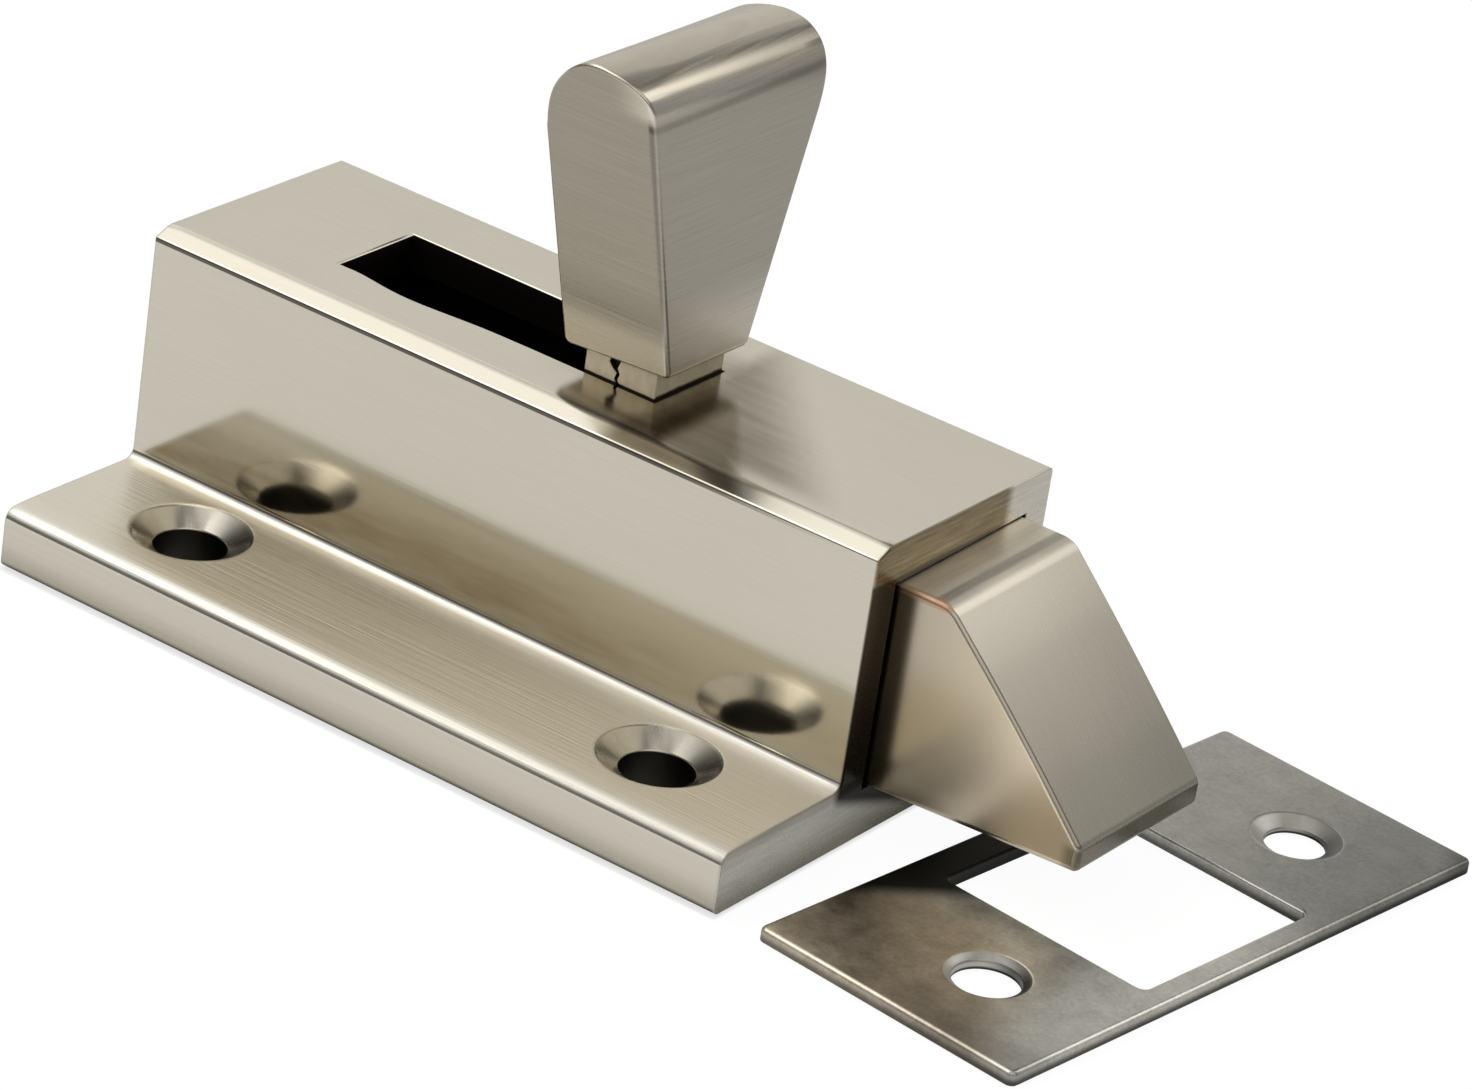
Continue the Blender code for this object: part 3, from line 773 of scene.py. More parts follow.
@dataclass(frozen=True)
class StrikeSteel(Finish):
    """Blotchy satin plate on the strike, with painted highlights on its upper edges, a painted shadow of
    the bolt and brown at its near end.
    """

    brown: Triple = (0.365, 0.302, 0.225)

    def marks(self, surface: Surface, coat: Coat) -> Coat:
        """Add blotches of tone and gloss, the brown near end, painted highlights, the bolt's painted
        shadow, painted reflections and darker ends.

        Args:
            surface: The material in the making.
            coat: The brushed skin.

        Returns:
            The blotchy skin.
        """
        x, y, z = surface.x, surface.y, surface.z
        blotch = surface.noise((520.0, 520.0, 520.0), detail=5.0, roughness=0.65)
        speck = surface.noise((3000.0, 3000.0, 3000.0), detail=3.0, roughness=0.7)
        slant = x + (y + 18.0) * 0.7
        near_brown = y.fall(-15.0, -8.0) * slant.fall(45.0, 50.5)
        # Painted shadow and dark reflection of the bolt on the plate beside the case.
        under = (y - x).rise(-50.6, -47.8) * y.fall(3.0, 8.0) * x.fall(40.0, 42.5)
        # Painted reflection at the near end: lighter towards the case, darker where the plate mirrors the
        # bolt.
        near = y.fall(-24.5, -19.0) * x.rise(38.0, 50.0, -0.25, 0.3)
        # Darker towards the far side, on the side faces and at the far corner.
        far = y.rise(-4.0, 9.0) * x.rise(42.0, 58.0, 0.32, 0.56)
        rim = z.fall(0.2, 0.75) * x.rise(50.0, 54.0, 0.65, 0.8)
        corner = (slant - y * 0.2).rise(80.0, 82.5)
        # Painted highlights on the rounded upper edges.
        painted_light = z.band(0.7, 0.86, 0.95, 0.99)
        tone = (1 + blotch * 0.8 + speck * 0.6) * (1 + painted_light * 0.45)
        for loss in (far, under * 0.97, rim, corner * 0.5, near):
            tone = tone * (1 - loss)
        browned = surface.scale(self.brown, 1 + blotch * 0.6)
        colour = surface.scale(surface.mix(near_brown * 0.75, coat.colour, browned), tone)
        return Coat(colour, coat.roughness + blotch * 0.2, coat.height + blotch * 1.6)


@dataclass(frozen=True)
class MilledBrass(Finish):
    """Unplated brass with the arcs of a milling cutter on its faces."""

    sweep: Pair = (-14.0, 30.0)

    def marks(self, surface: Surface, coat: Coat) -> Coat:
        """Add the cutter's arcs and dull patches.

        Args:
            surface: The material in the making.
            coat: The brushed skin.

        Returns:
            The milled skin.
        """
        radius = surface.length(surface.y - self.sweep[0], surface.z - self.sweep[1])
        arcs = surface.noise((3.2, 0.0, 0.0), at=surface.join(radius, 0.0, 0.0))
        dull = surface.noise((240.0, 240.0, 240.0), detail=3.0)
        colour = surface.scale(coat.colour, 1 + arcs * 0.3 + dull * 0.25)
        return Coat(colour, coat.roughness + dull * 0.2, arcs * 2.0)


class Plane(Enum):
    """Planes that an outline may lie in, as the axes of its two coordinates and its depth."""

    ACROSS = (1, 2, 0)
    SIDE = (0, 2, 1)
    FLAT = (0, 1, 2)

    def point(self, first: float, second: float, depth: float) -> Vector:
        """Put an outline's point and a depth into space.

        Args:
            first: First coordinate in the plane.
            second: Second coordinate in the plane.
            depth: Place along the plane's normal.

        Returns:
            The place.
        """
        place = Vector((0.0, 0.0, 0.0))
        for axis, value in zip(self.value, (first, second, depth)):
            place[axis] = value
        return place


def rounded(corners: Sequence[Corner], steps: int = 10) -> list[Pair]:
    """Round the corners of a closed outline.

    Args:
        corners: Two coordinates and a radius each, in order round the outline.
        steps: Pieces of each arc.

    Returns:
        Points of the rounded outline.
    """
    points: list[Pair] = []
    count = len(corners)
    for number, (x, y, radius) in enumerate(corners):
        here = Vector((x, y))
        if radius <= 0:
            points.append((x, y))
            continue
        back = (Vector(corners[number - 1][:2]) - here).normalized()
        ahead = (Vector(corners[(number + 1) % count][:2]) - here).normalized()
        half = back.angle(ahead) / 2
        start = here + back * (radius / math.tan(half))
        end = here + ahead * (radius / math.tan(half))
        middle = here + (back + ahead).normalized() * (radius / math.sin(half))
        first = start - middle
        sweep = first.angle_signed(end - middle)
        for step in range(steps + 1):
            spoke = first.copy()
            spoke.rotate(Matrix.Rotation(-sweep * step / steps, 2))
            points.append(tuple(middle + spoke))
    return points


def drawn_through(points: Sequence[Vector], steps: int = 4) -> list[Pair]:
    """Draw a smooth open line through points.

    Args:
        points: Points of the line in order.
        steps: Pieces between two points.

    Returns:
        Points of the line, with its two ends.
    """
    chain = [points[0] * 2 - points[1], *points, points[-1] * 2 - points[-2]]
    line = [tuple(points[0])]
    for before, start, end, after in zip(chain, chain[1:], chain[2:], chain[3:]):
        handles = start + (end - before) / 6, end - (after - start) / 6
        piece = interpolate_bezier(start, *handles, end, steps + 1)
        line.extend(tuple(place)[:2] for place in piece[1:])
    return line


def spindle(node: str) -> tuple[float, float, float, float]:
    """Start, length, height of the axis and radius of a CAD node that lies along X."""
    low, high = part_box(node)
    return low.x, high.x - low.x, (low.z + high.z) / 2, (high.z - low.z) / 2


def square_to(axis: Triple, places: Iterable[float]) -> list[Seam]:
    """Planes square to an axis at the given places along it, each as a point and a normal."""
    return [(Vector(axis) * place, Vector(axis)) for place in places]


class Solid:
    """A mesh being shaped: cut, rounded, and left as plain mesh."""

    TOUCHING = 1e-7
    SAME_POINT = 0.002 * MM
    SLIVER = 0.0005 * MM
    FLAT_ANGLE = 0.3
    FACE_WEIGHT = 90

    def __init__(self, name: str, mesh: bpy.types.Mesh) -> None:
        """Put the mesh in the scene under that name."""
        self.object = bpy.data.objects.new(name, mesh)
        bpy.context.scene.collection.objects.link(self.object)

    @classmethod
    def skin(cls, name: str, rings: Sequence[Sequence[Vector]]) -> "Solid":
        """Skin a row of closed rings into a solid.

        Args:
            name: Name of the piece.
            rings: Points of each ring, as many in each, in order along the piece.

        Returns:
            The solid, closed at both ends.
        """
        work = bmesh.new()
        rows = [[work.verts.new(place) for place in ring] for ring in rings]
        for row, following in zip(rows, rows[1:]):
            for number in range(len(row)):
                after = (number + 1) % len(row)
                work.faces.new((row[number], row[after], following[after], following[number]))
        work.faces.new(rows[0])
        work.faces.new(rows[-1])
        return cls(name, cls._mesh(name, work))

    @classmethod
    def prism(
        cls, name: str, outline: Sequence[Pair], low: float, high: float, plane: Plane
    ) -> "Solid":
        """Draw a closed outline in a plane straight out into a solid, from one depth to another."""
        ends = (low, high)
        return cls.skin(name, [[plane.point(*pair, depth) for pair in outline] for depth in ends])

    @classmethod
    def box(cls, name: str, low: Triple, high: Triple) -> "Solid":
        """A plain block between two corners, used to cut with."""
        outline = [(low[0], low[1]), (high[0], low[1]), (high[0], high[1]), (low[0], high[1])]
        return cls.prism(name, outline, low[2], high[2], Plane.FLAT)

    @classmethod
    def lathe(cls, name: str, profile: Sequence[Pair], facets: int = 48) -> "Solid":
        """Turn a profile about the Z axis.

        Args:
            name: Name of the piece.
            profile: Radius and height of each point, from the low end on the axis to the high end.
            facets: Sides of the turned form.

        Returns:
            The solid.
        """
        work = bmesh.new()
        chain = [work.verts.new((radius, 0.0, height)) for radius, height in profile]
        edges = [work.edges.new(pair) for pair in zip(chain, chain[1:])]
        bmesh.ops.spin(
            work,
            geom=chain + edges,
            axis=UPRIGHT,
            cent=(0, 0, 0),
            angle=math.tau,
            steps=facets,
            use_merge=True,
        )
        bmesh.ops.remove_doubles(work, verts=work.verts, dist=cls.TOUCHING)
        return cls(name, cls._mesh(name, work))

    @classmethod
    def drill(cls, name: str, radius: float, low: float, high: float) -> "Solid":
        """A plain cylinder about the Z axis, used to cut with."""
        return cls.lathe(name, [(0.0, low), (radius, low), (radius, high), (0.0, high)])

    @staticmethod
    def _mesh(name: str, work: bmesh.types.BMesh) -> bpy.types.Mesh:
        """Turn the faces outwards and write the mesh.

        Args:
            name: Name of the mesh.
            work: Faces to write, used up.

        Returns:
            The mesh.
        """
        bmesh.ops.recalc_face_normals(work, faces=work.faces)
        mesh = bpy.data.meshes.new(name)
        work.to_mesh(mesh)
        work.free()
        return mesh

    def move(self, place: Vector | Triple, degrees: float = 0.0, axis: str = "Z") -> "Solid":
        """Turn a piece about an axis through the origin, then move it.

        Args:
            place: Where its origin goes.
            degrees: Its turn.
            axis: Axis of the turn.

        Returns:
            This solid.
        """
        turn = Matrix.Rotation(math.radians(degrees), 4, axis)
        self.object.data.transform(Matrix.Translation(place) @ turn)
        return self

    def lay_along_x(self, x: float, z: float) -> "Solid":
        """Turn a piece made along Z so that it points along X, and move it to that place."""
        return self.move((x, 0.0, z), 90.0, "Y")

    def discard(self) -> None:
        """Remove a solid that was only needed to cut with."""
        mesh = self.object.data
        bpy.data.objects.remove(self.object)
        bpy.data.meshes.remove(mesh)

    def settle(self) -> "Solid":
        """Turn the modifiers' result into plain mesh.

        Returns:
            This solid.
        """
        shaped = self.object.evaluated_get(bpy.context.evaluated_depsgraph_get())
        mesh = bpy.data.meshes.new_from_object(shaped)
        self.object.modifiers.clear()
        old, self.object.data = self.object.data, mesh
        bpy.data.meshes.remove(old)
        mesh.name = self.object.name
        return self

    def cut(self, *tools: "Solid", operation: str = "DIFFERENCE") -> "Solid":
        """Cut with other solids, or join them on, and use them up.

        Args:
            tools: Solids to work with.
            operation: Boolean operation.

        Returns:
            This solid.
        """
        for tool in tools:
            modifier = self.object.modifiers.new("cut", "BOOLEAN")
            modifier.operation = operation
            modifier.solver = "EXACT"
            modifier.object = tool.object
            self.settle()
            tool.discard()
        return self

    def round_edges(
        self,
        radius_of: RadiusRule,
        segments: int = 3,
        least: float = 28.0,
        seams: Sequence[Seam] = (),
        miter: str = "MITER_ARC",
    ) -> "Solid":
        """Round the sharp outer edges, each by its own radius.

        Args:
            radius_of: Radius from an edge's middle; nought leaves it sharp.
            segments: Pieces of each rounding.
            least: Angle between faces, in degrees, from which an edge counts as sharp.
            seams: Planes that part a pierced face; without them flat faces are merged.
            miter: How roundings meet round the outside of a bend.

        Returns:
            This solid.
        """
        mesh = self.object.data
        work = bmesh.new()
        work.from_mesh(mesh)
        bmesh.ops.remove_doubles(work, verts=work.verts, dist=self.SAME_POINT)
        if not seams:
            bmesh.ops.dissolve_limit(
                work,
                angle_limit=math.radians(self.FLAT_ANGLE),
                verts=work.verts,
                edges=work.edges,
                delimit={"MATERIAL"},
            )
        for point, normal in seams:
            everything = [*work.verts, *work.edges, *work.faces]
            bmesh.ops.bisect_plane(
                work, geom=everything, dist=self.TOUCHING, plane_co=point, plane_no=normal
            )
        layer = work.edges.layers.float.new("bevel_weight_edge")
        radii: dict[bmesh.types.BMEdge, float] = {}
        for edge in work.edges:
            if len(edge.link_faces) == 2 and edge.is_convex:
                if edge.calc_face_angle(0.0) > math.radians(least):
                    start, end = (vertex.co for vertex in edge.verts)
                    radii[edge] = radius_of((start + end) / 2)
        widest = max(radii.values())
        for edge, radius in radii.items():
            edge[layer] = radius / widest
        work.to_mesh(mesh)
        work.free()
        modifier = self.object.modifiers.new("round", "BEVEL")
        modifier.limit_method = "WEIGHT"
        modifier.width = widest
        modifier.segments = segments
        modifier.use_clamp_overlap = False
        modifier.miter_outer = miter
        return self.settle()

    def smooth(self, least: float = 42.0) -> "Solid":
        """Merge slivers and shade smooth, with sharp edges kept and flat faces kept flat.

        Args:
            least: Angle between faces, in degrees, from which an edge stays sharp.

        Returns:
            This solid.
        """
        mesh = self.object.data
        work = bmesh.new()
        work.from_mesh(mesh)
        bmesh.ops.remove_doubles(work, verts=work.verts, dist=self.SLIVER)
        work.to_mesh(mesh)
        work.free()
        mesh.polygons.foreach_set("use_smooth", [True] * len(mesh.polygons))
        mesh.set_sharp_from_angle(angle=math.radians(least))
        modifier = self.object.modifiers.new("flatten", "WEIGHTED_NORMAL")
        modifier.keep_sharp = True
        modifier.weight = self.FACE_WEIGHT
        return self.settle()

    def dress(self, *materials: bpy.types.Material) -> "Solid":
        """Give the solid its materials.

        Args:
            materials: One for each slot, in order.

        Returns:
            This solid.
        """
        slots = self.object.data.materials
        slots.clear()
        for material in materials:
            slots.append(material)
        return self

    def fit(self, body: str, slot: str, *nodes: str) -> None:
        """Stand this piece in for its nodes.

        Args:
            body: Body that it rides on.
            slot: Material slot of the record that its finish belongs to; not used.
            nodes: CAD nodes that it replaces.
        """
        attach(self.object, body)
        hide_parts(*nodes)
        mesh = self.object.data
        mesh.calc_loop_triangles()
        log.info("%s rides on %s, %d triangles", self.object.name, body, len(mesh.loop_triangles))


class ShapeTree(Graph):
    """A Geometry Nodes tree with named inputs, baked into plain mesh."""

    KINDS = {
        "geometry": "NodeSocketGeometry",
        "number": "NodeSocketFloat",
        "count": "NodeSocketInt",
        "vector": "NodeSocketVector",
        "material": "NodeSocketMaterial",
        "object": "NodeSocketObject",
    }

    def __init__(self, name: str, inputs: Mapping[str, str]) -> None:
        """Start a tree.

        Args:
            name: Name of the tree.
            inputs: Kind of each named input, after the geometry it works on.
        """
        super().__init__(bpy.data.node_groups.new(name, "GeometryNodeTree"))
        sockets = self.tree.interface
        self.keys: dict[str, str] = {}
        for label, kind in {"Geometry": "geometry", **inputs}.items():
            socket = sockets.new_socket(label, in_out="INPUT", socket_type=self.KINDS[kind])
            self.keys[label] = socket.identifier
        sockets.new_socket("Geometry", in_out="OUTPUT", socket_type=self.KINDS["geometry"])
        self.entry = self.tree.nodes.new("NodeGroupInput")

    def input(self, label: str) -> Field:
        """A named input of the tree."""
        return Field(self, self.pick(self.entry.outputs, self.keys[label]))

    def finish(self, shape: Field, material: Field) -> None:
        """End the tree in Realize Instances and Set Material.

        Args:
            shape: The finished geometry.
            material: Its material.
        """
        real = self.node("GeometryNodeRealizeInstances", {}, {"Geometry": shape})
        smooth = self.node("GeometryNodeSetShadeSmooth", {}, {"Geometry": real})
        dressed = self.node("GeometryNodeSetMaterial", {}, {"Geometry": smooth, "Material": material})
        self.node("NodeGroupOutput", {}, {"Geometry": dressed})

    def bake(self, solid: Solid, values: Mapping[str, object]) -> Solid:
        """Run the tree on a solid and keep the result as plain mesh.

        Args:
            solid: Solid that the tree works on.
            values: Value of each named input.

        Returns:
            The same solid, reshaped.
        """
        modifier = solid.object.modifiers.new(self.tree.name, "NODES")
        modifier.node_group = self.tree
        for label, value in values.items():
            modifier[self.keys[label]] = value
        return solid.settle()


class HolePattern(ShapeTree):
    """Countersunk holes on a small grid, cut through a plate from its upper face."""

    MARGIN = 0.3 * MM

    def __init__(self) -> None:
        """Build the tree."""
        super().__init__(
            "countersunk_holes",
            {
                "Count": "count",
                "First Step": "vector",
                "Second Step": "vector",
                "Centre": "vector",
                "Hole Diameter": "number",
                "Sink Diameter": "number",
                "Sink Depth": "number",
                "Reach": "number",
                "Facets": "count",
                "First Hole": "number",
                "First Sink": "number",
                "Plate Finish": "material",
                "Sink Finish": "material",
            },
        )
        points = self.node(
            "GeometryNodePoints", {}, {"Count": self.input("Count"), "Position": self._places()}
        )
        first = self.node("GeometryNodeInputIndex") < 1.0
        cutters = []
        for shape, name in ((self._cone(), "First Sink"), (self._bore(), "First Hole")):
            wide = 1 + first * (self.input(name) - 1.0)
            cutters.append(
                self.node(
                    "GeometryNodeInstanceOnPoints",
                    {},
                    {"Points": points, "Instance": shape, "Scale": self.join(wide, wide, 1.0)},
                )
            )
        plate = self.node(
            "GeometryNodeSetMaterial",
            {},
            {"Geometry": self.input("Geometry"), "Material": self.input("Plate Finish")},
        )
        cut = self.node(
            "GeometryNodeMeshBoolean",
            {"operation": "DIFFERENCE", "solver": "EXACT"},
            {"Mesh 1": plate, "Mesh 2": cutters},
        )
        real = self.node("GeometryNodeRealizeInstances", {}, {"Geometry": cut})
        self.node("NodeGroupOutput", {}, {"Geometry": real})

    def _places(self) -> Field:
        """Places of the holes.

        Returns:
            Position of each point: two along the first step, rows along the second.
        """
        number = self.node("GeometryNodeInputIndex")
        column = number % 2.0 - 0.5
        row = self.math("FLOOR", number / 2.0) - 0.5 * (self.input("Count") > 2.0)
        first = self.scale(self.input("First Step"), column)
        second = self.scale(self.input("Second Step"), row)
        return self.vector("ADD", self.input("Centre"), self.vector("ADD", first, second))

    def _dressed(self, shape: Field, height: Field | float) -> Field:
        """Lift a cutter and give it the sink's finish.

        Args:
            shape: The cutter at the origin.
            height: Height to lift it to.

        Returns:
            The cutter.
        """
        lifted = self.node(
            "GeometryNodeTransform", {}, {"Geometry": shape, "Translation": self.join(0.0, 0.0, height)}
        )
        return self.node(
            "GeometryNodeSetMaterial", {}, {"Geometry": lifted, "Material": self.input("Sink Finish")}
        )

    def _cone(self) -> Field:
        """Cutter of the countersink, drawn on past both of its ends.

        Returns:
            The cone.
        """
        hole = self.input("Hole Diameter") / 2.0
        sink = self.input("Sink Diameter") / 2.0
        depth = self.input("Sink Depth")
        spread = (sink - hole) / depth * self.MARGIN
        cone = self.node(
            "GeometryNodeMeshCone",
            {},
            {
                "Vertices": self.input("Facets"),
                "Radius Bottom": hole - spread,
                "Radius Top": sink + spread,
                "Depth": depth + 2 * self.MARGIN,
            },
        )
        return self._dressed(cone, 0.0 - depth - self.MARGIN)

    def _bore(self) -> Field:
        """Cutter of the bore, from below the plate up into the countersink.

        Returns:
            The cylinder.
        """
        reach = self.input("Reach")
        bore = self.node(
            "GeometryNodeMeshCylinder",
            {},
            {
                "Vertices": self.input("Facets"),
                "Radius": self.input("Hole Diameter") / 2.0,
                "Depth": reach,
            },
        )
        return self._dressed(bore, 0.0 - reach / 2.0 - self.MARGIN)


class HelixWire(ShapeTree):
    """A wire wound in a helix along X, with its end turns drawn together."""

    def __init__(self) -> None:
        """Build the tree."""
        super().__init__(
            "helix_wire",
            {
                "Start": "vector",
                "Length": "number",
                "Turns": "number",
                "Coil Radius": "number",
                "Wire Radius": "number",
                "Closing": "number",
                "Steps": "count",
                "Sides": "count",
                "Finish": "material",
            },
        )
        steps = self.input("Steps")
        line = self.node("GeometryNodeMeshLine", {}, {"Count": steps})
        share = self.node("GeometryNodeInputIndex") / (steps - 1.0)
        angle = share * self.input("Turns") * math.tau
        along = share - self.input("Closing") * self.math("SINE", share * math.tau)
        radius = self.input("Coil Radius")
        offset = self.join(
            along * self.input("Length"),
            radius * self.math("COSINE", angle),
            radius * self.math("SINE", angle),
        )
        place = self.vector("ADD", self.input("Start"), offset)
        path = self.node("GeometryNodeSetPosition", {}, {"Geometry": line, "Position": place})
        curve = self.node("GeometryNodeMeshToCurve", {}, {"Mesh": path})
        ring = self.node(
            "GeometryNodeCurvePrimitiveCircle",
            {"mode": "RADIUS"},
            {"Resolution": self.input("Sides"), "Radius": self.input("Wire Radius")},
        )
        wire = self.node(
            "GeometryNodeCurveToMesh", {}, {"Curve": curve, "Profile Curve": ring, "Fill Caps": True}
        )
        self.finish(wire, self.input("Finish"))


class ScrewRow(ShapeTree):
    """Screws set in a row along Y, each turned to an angle of its own."""

    SEED = 4

    def __init__(self) -> None:
        """Build the tree."""
        super().__init__(
            "screw_row",
            {
                "Screw": "object",
                "Count": "count",
                "Spacing": "number",
                "Centre": "vector",
                "Finish": "material",
            },
        )
        count = self.input("Count")
        number = self.node("GeometryNodeInputIndex")
        across = (number - (count - 1.0) / 2.0) * self.input("Spacing")
        place = self.vector("ADD", self.input("Centre"), self.join(0.0, across, 0.0))
        points = self.node("GeometryNodePoints", {}, {"Count": count, "Position": place})
        screw = self.node("GeometryNodeObjectInfo", {}, {"Object": self.input("Screw")}, "Geometry")
        turn = self.node(
            "FunctionNodeRandomValue",
            {"data_type": "FLOAT"},
            {"Min_001": 0.0, "Max_001": math.pi, "ID": number, "Seed": self.SEED},
            "Value_001",
        )
        row = self.node(
            "GeometryNodeInstanceOnPoints",
            {},
            {"Points": points, "Instance": screw, "Rotation": self.join(0.0, 0.0, turn)},
        )
        self.finish(row, self.input("Finish"))


@dataclass
class LatchCase:
    """The hat-section case: channel for the bolt, slot for the neck, four countersunk holes."""

    finish: CaseNickel
    sink_finish: SinkNickel
    width: float = 19.7 * MM
    channel_half: float = 7.35 * MM
    channel_low: float = 3.6 * MM
    channel_high: float = 18.38 * MM
    channel_tilt: float = 0.026
    slot_half: float = 4.0 * MM
    slot_front: float = 7.72 * MM
    slot_near: tuple[Pair, ...] = (
        (-18.85, -4.0), (-16.8, -4.07), (-13.9, -4.5), (-11.3, -4.55), (-6.4, -4.1), (-2.0, -4.0),
    )
    slot_chamfer: float = 0.4 * MM
    slot_middle: float = -6.0 * MM
    slot_taper: float = 0.2 * MM
    slot_edge: float = 0.06 * MM
    mouth_edge: float = 0.08 * MM
    hole_edge: float = 0.1 * MM
    flange: float = 4.4 * MM
    root_radius: float = 0.75 * MM
    top_edge: float = 0.24 * MM
    far_top_edge: float = 0.35 * MM
    top_roll: float = 1.35 * MM
    top_slope: float = 24.0
    top_crown: float = 1.7 * MM
    flange_edge: float = 1.0 * MM
    flange_crown: float = 1.1 * MM
    flange_reach: float = 0.35 * MM
    crown_slope: float = 6.5
    crown_share: float = 0.9
    foot_radius: float = 0.5 * MM
    end_edge: float = 0.12 * MM
    end_steps: int = 4
    hole_along: float = 39.4 * MM
    hole_across: float = 30.7 * MM
    hole_shift: float = -0.15 * MM
    hole_diameter: float = 5.0 * MM
    sink_diameter: float = 8.3 * MM
    sink_depth: float = 1.05 * MM
    sink_rim: float = 0.22 * MM
    hole_facets: int = 72
    seam_from_end: float = 1.2 * MM
    seam_from_wall: float = 2.2 * MM
    plug_screw_x: float = -26.5 * MM
    plug_screw_spacing: float = 9.0 * MM
    plug_hole: float = 3.1 * MM
    plug_sink: float = 5.3 * MM
    plug_sink_depth: float = 1.4 * MM
    over: float = 1 * MM
    high: Vector = field(init=False)

    def __post_init__(self) -> None:
        """Take the case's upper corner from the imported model."""
        self.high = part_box("latch_case")[1]

    def outline(self) -> list[Pair]:
        """Section of the case across the bolt.

        Returns:
            Points of the hat section, with crowned upper edges.
        """
        near = self.half_outline(self.top_edge, self.top_roll)
        near = [(-y, z, radius) for y, z, radius in reversed(near)]
        return rounded(self.half_outline(self.far_top_edge, 0.0) + near, steps=14)

    def rings(self) -> list[list[Vector]]:
        """Sections along the case, drawn in at both ends so that its end edges are round.

        Returns:
            Points of each section.
        """
        outline = [Vector(pair) for pair in self.outline()]
        count = len(outline)
        tangents = [outline[(number + 1) % count] - outline[number - 1] for number in range(count)]
        inward = [Vector((-tangent.y, tangent.x)).normalized() for tangent in tangents]
        rings = []
        for side in SIDES:
            row = []
            for step in range(self.end_steps + 1):
                angle = math.pi / 2 * step / self.end_steps
                drawn = self.end_edge * (1 - math.cos(angle))
                depth = side * (self.high.x - self.end_edge * (1 - math.sin(angle)))
                ring = []
                for place, normal in zip(outline, inward):
                    drawn_in = place + normal * drawn * min(1.0, place.y / MM)
                    ring.append(Plane.ACROSS.point(*drawn_in, depth))
                row.append(ring)
            rings += row[::-1] if side < 0 else row
        return rings

    def half_outline(self, top_edge: float, top_roll: float) -> list[Corner]:
        """One side of the section, from the foot to the top.

        Args:
            top_edge: Radius of the top's long edge.
            top_roll: Width of the slope that the top rolls off into before that edge, or nought.

        Returns:
            Corners with their radii; the flange rolls off in a shallow crown before its edge.
        """
        half, span, top = self.width / 2, self.high.y + self.flange_reach, self.high.z
        slope = math.tan(math.radians(self.crown_slope))
        ease = self.crown_share / math.tan(math.radians(self.crown_slope) / 2)
        corners = [
            (span, 0.0, self.foot_radius),
            (span, self.flange - self.flange_crown * slope, self.flange_edge),
            (span - self.flange_edge - self.flange_crown, self.flange, self.flange_crown * ease),
            (half, self.flange, self.root_radius),
            (half, top - top_roll * math.tan(math.radians(self.top_slope)), top_edge),
        ]
        if top_roll > 0:
            corners.append((half - top_roll, top, self.top_crown))
        return corners

    def edge_radius(self, middle: Vector) -> float:
        """Radius of an outer edge: at the ends, in the slot, round a sink or round a hole.

        Args:
            middle: Middle of the edge.

        Returns:
            The radius.
        """
        slack = 0.2 * MM
        if abs(middle.x) > self.high.x - slack:
            return self.mouth_edge if abs(middle.y) < self.channel_half + slack / 2 else 0.0
        if middle.z > self.flange + self.over:
            at_rear = middle.x < (self.slot_near[0][0] + 0.01) * MM
            return self.slot_chamfer if at_rear else self.slot_edge
        return self.sink_rim if middle.z > self.flange - slack else self.hole_edge

    def seams(self) -> list[Seam]:
        """Planes through the holes, beside the slot and near the ends that part the pierced faces.

        Returns:
            The planes.
        """
        holes = [self.hole_shift + side * self.hole_along / 2 for side in SIDES]
        ends = [side * (self.high.x - self.seam_from_end) for side in SIDES]
        walls = [side * (self.width / 2 - self.seam_from_wall) for side in SIDES]
        along = square_to((1.0, 0.0, 0.0), [*holes, *ends, self.plug_screw_x, self.slot_middle])
        return along + square_to((0.0, 1.0, 0.0), [0.0, *walls])

    def build(self, holes: HolePattern) -> Solid:
        """Shape the case.

        Args:
            holes: Tree that cuts countersunk holes.

        Returns:
            The case with its finishes.
        """
        over = self.over
        long = self.high.x + over
        case = Solid.skin("case_body", self.rings())
        half, low = self.channel_half, self.channel_low
        far_high = self.channel_high + self.channel_tilt * 2 * half
        mouth = [(-half, low), (half, low), (half, far_high), (-half, self.channel_high)]
        channel = Solid.prism("channel", mouth, -long, long, Plane.ACROSS)
        near = drawn_through([Vector(pair) * MM for pair in self.slot_near], steps=3)
        front, across = self.slot_front, self.slot_half
        rim = [*near, (front, -across), (front, across - self.slot_taper), (near[0][0], across)]
        slot = Solid.prism("slot", rim, self.channel_high - over, self.high.z + over, Plane.FLAT)
        case.cut(channel, slot, *self.plug_screw_cutters())
        skin, turned = self.finish.material(), self.sink_finish.material()
        holes.bake(
            case,
            {
                "Count": 4,
                "First Step": (self.hole_along, 0.0, 0.0),
                "Second Step": (0.0, self.hole_across, 0.0),
                "Centre": (self.hole_shift, 0.0, self.flange),
                "Hole Diameter": self.hole_diameter,
                "Sink Diameter": self.sink_diameter,
                "Sink Depth": self.sink_depth,
                "Reach": self.flange + over,
                "Facets": self.hole_facets,
                "First Hole": 1.0,
                "First Sink": 1.0,
                "Plate Finish": skin,
                "Sink Finish": turned,
            },
        )
        case.round_edges(self.edge_radius, segments=4, seams=self.seams(), miter="MITER_SHARP")
        return case.smooth()

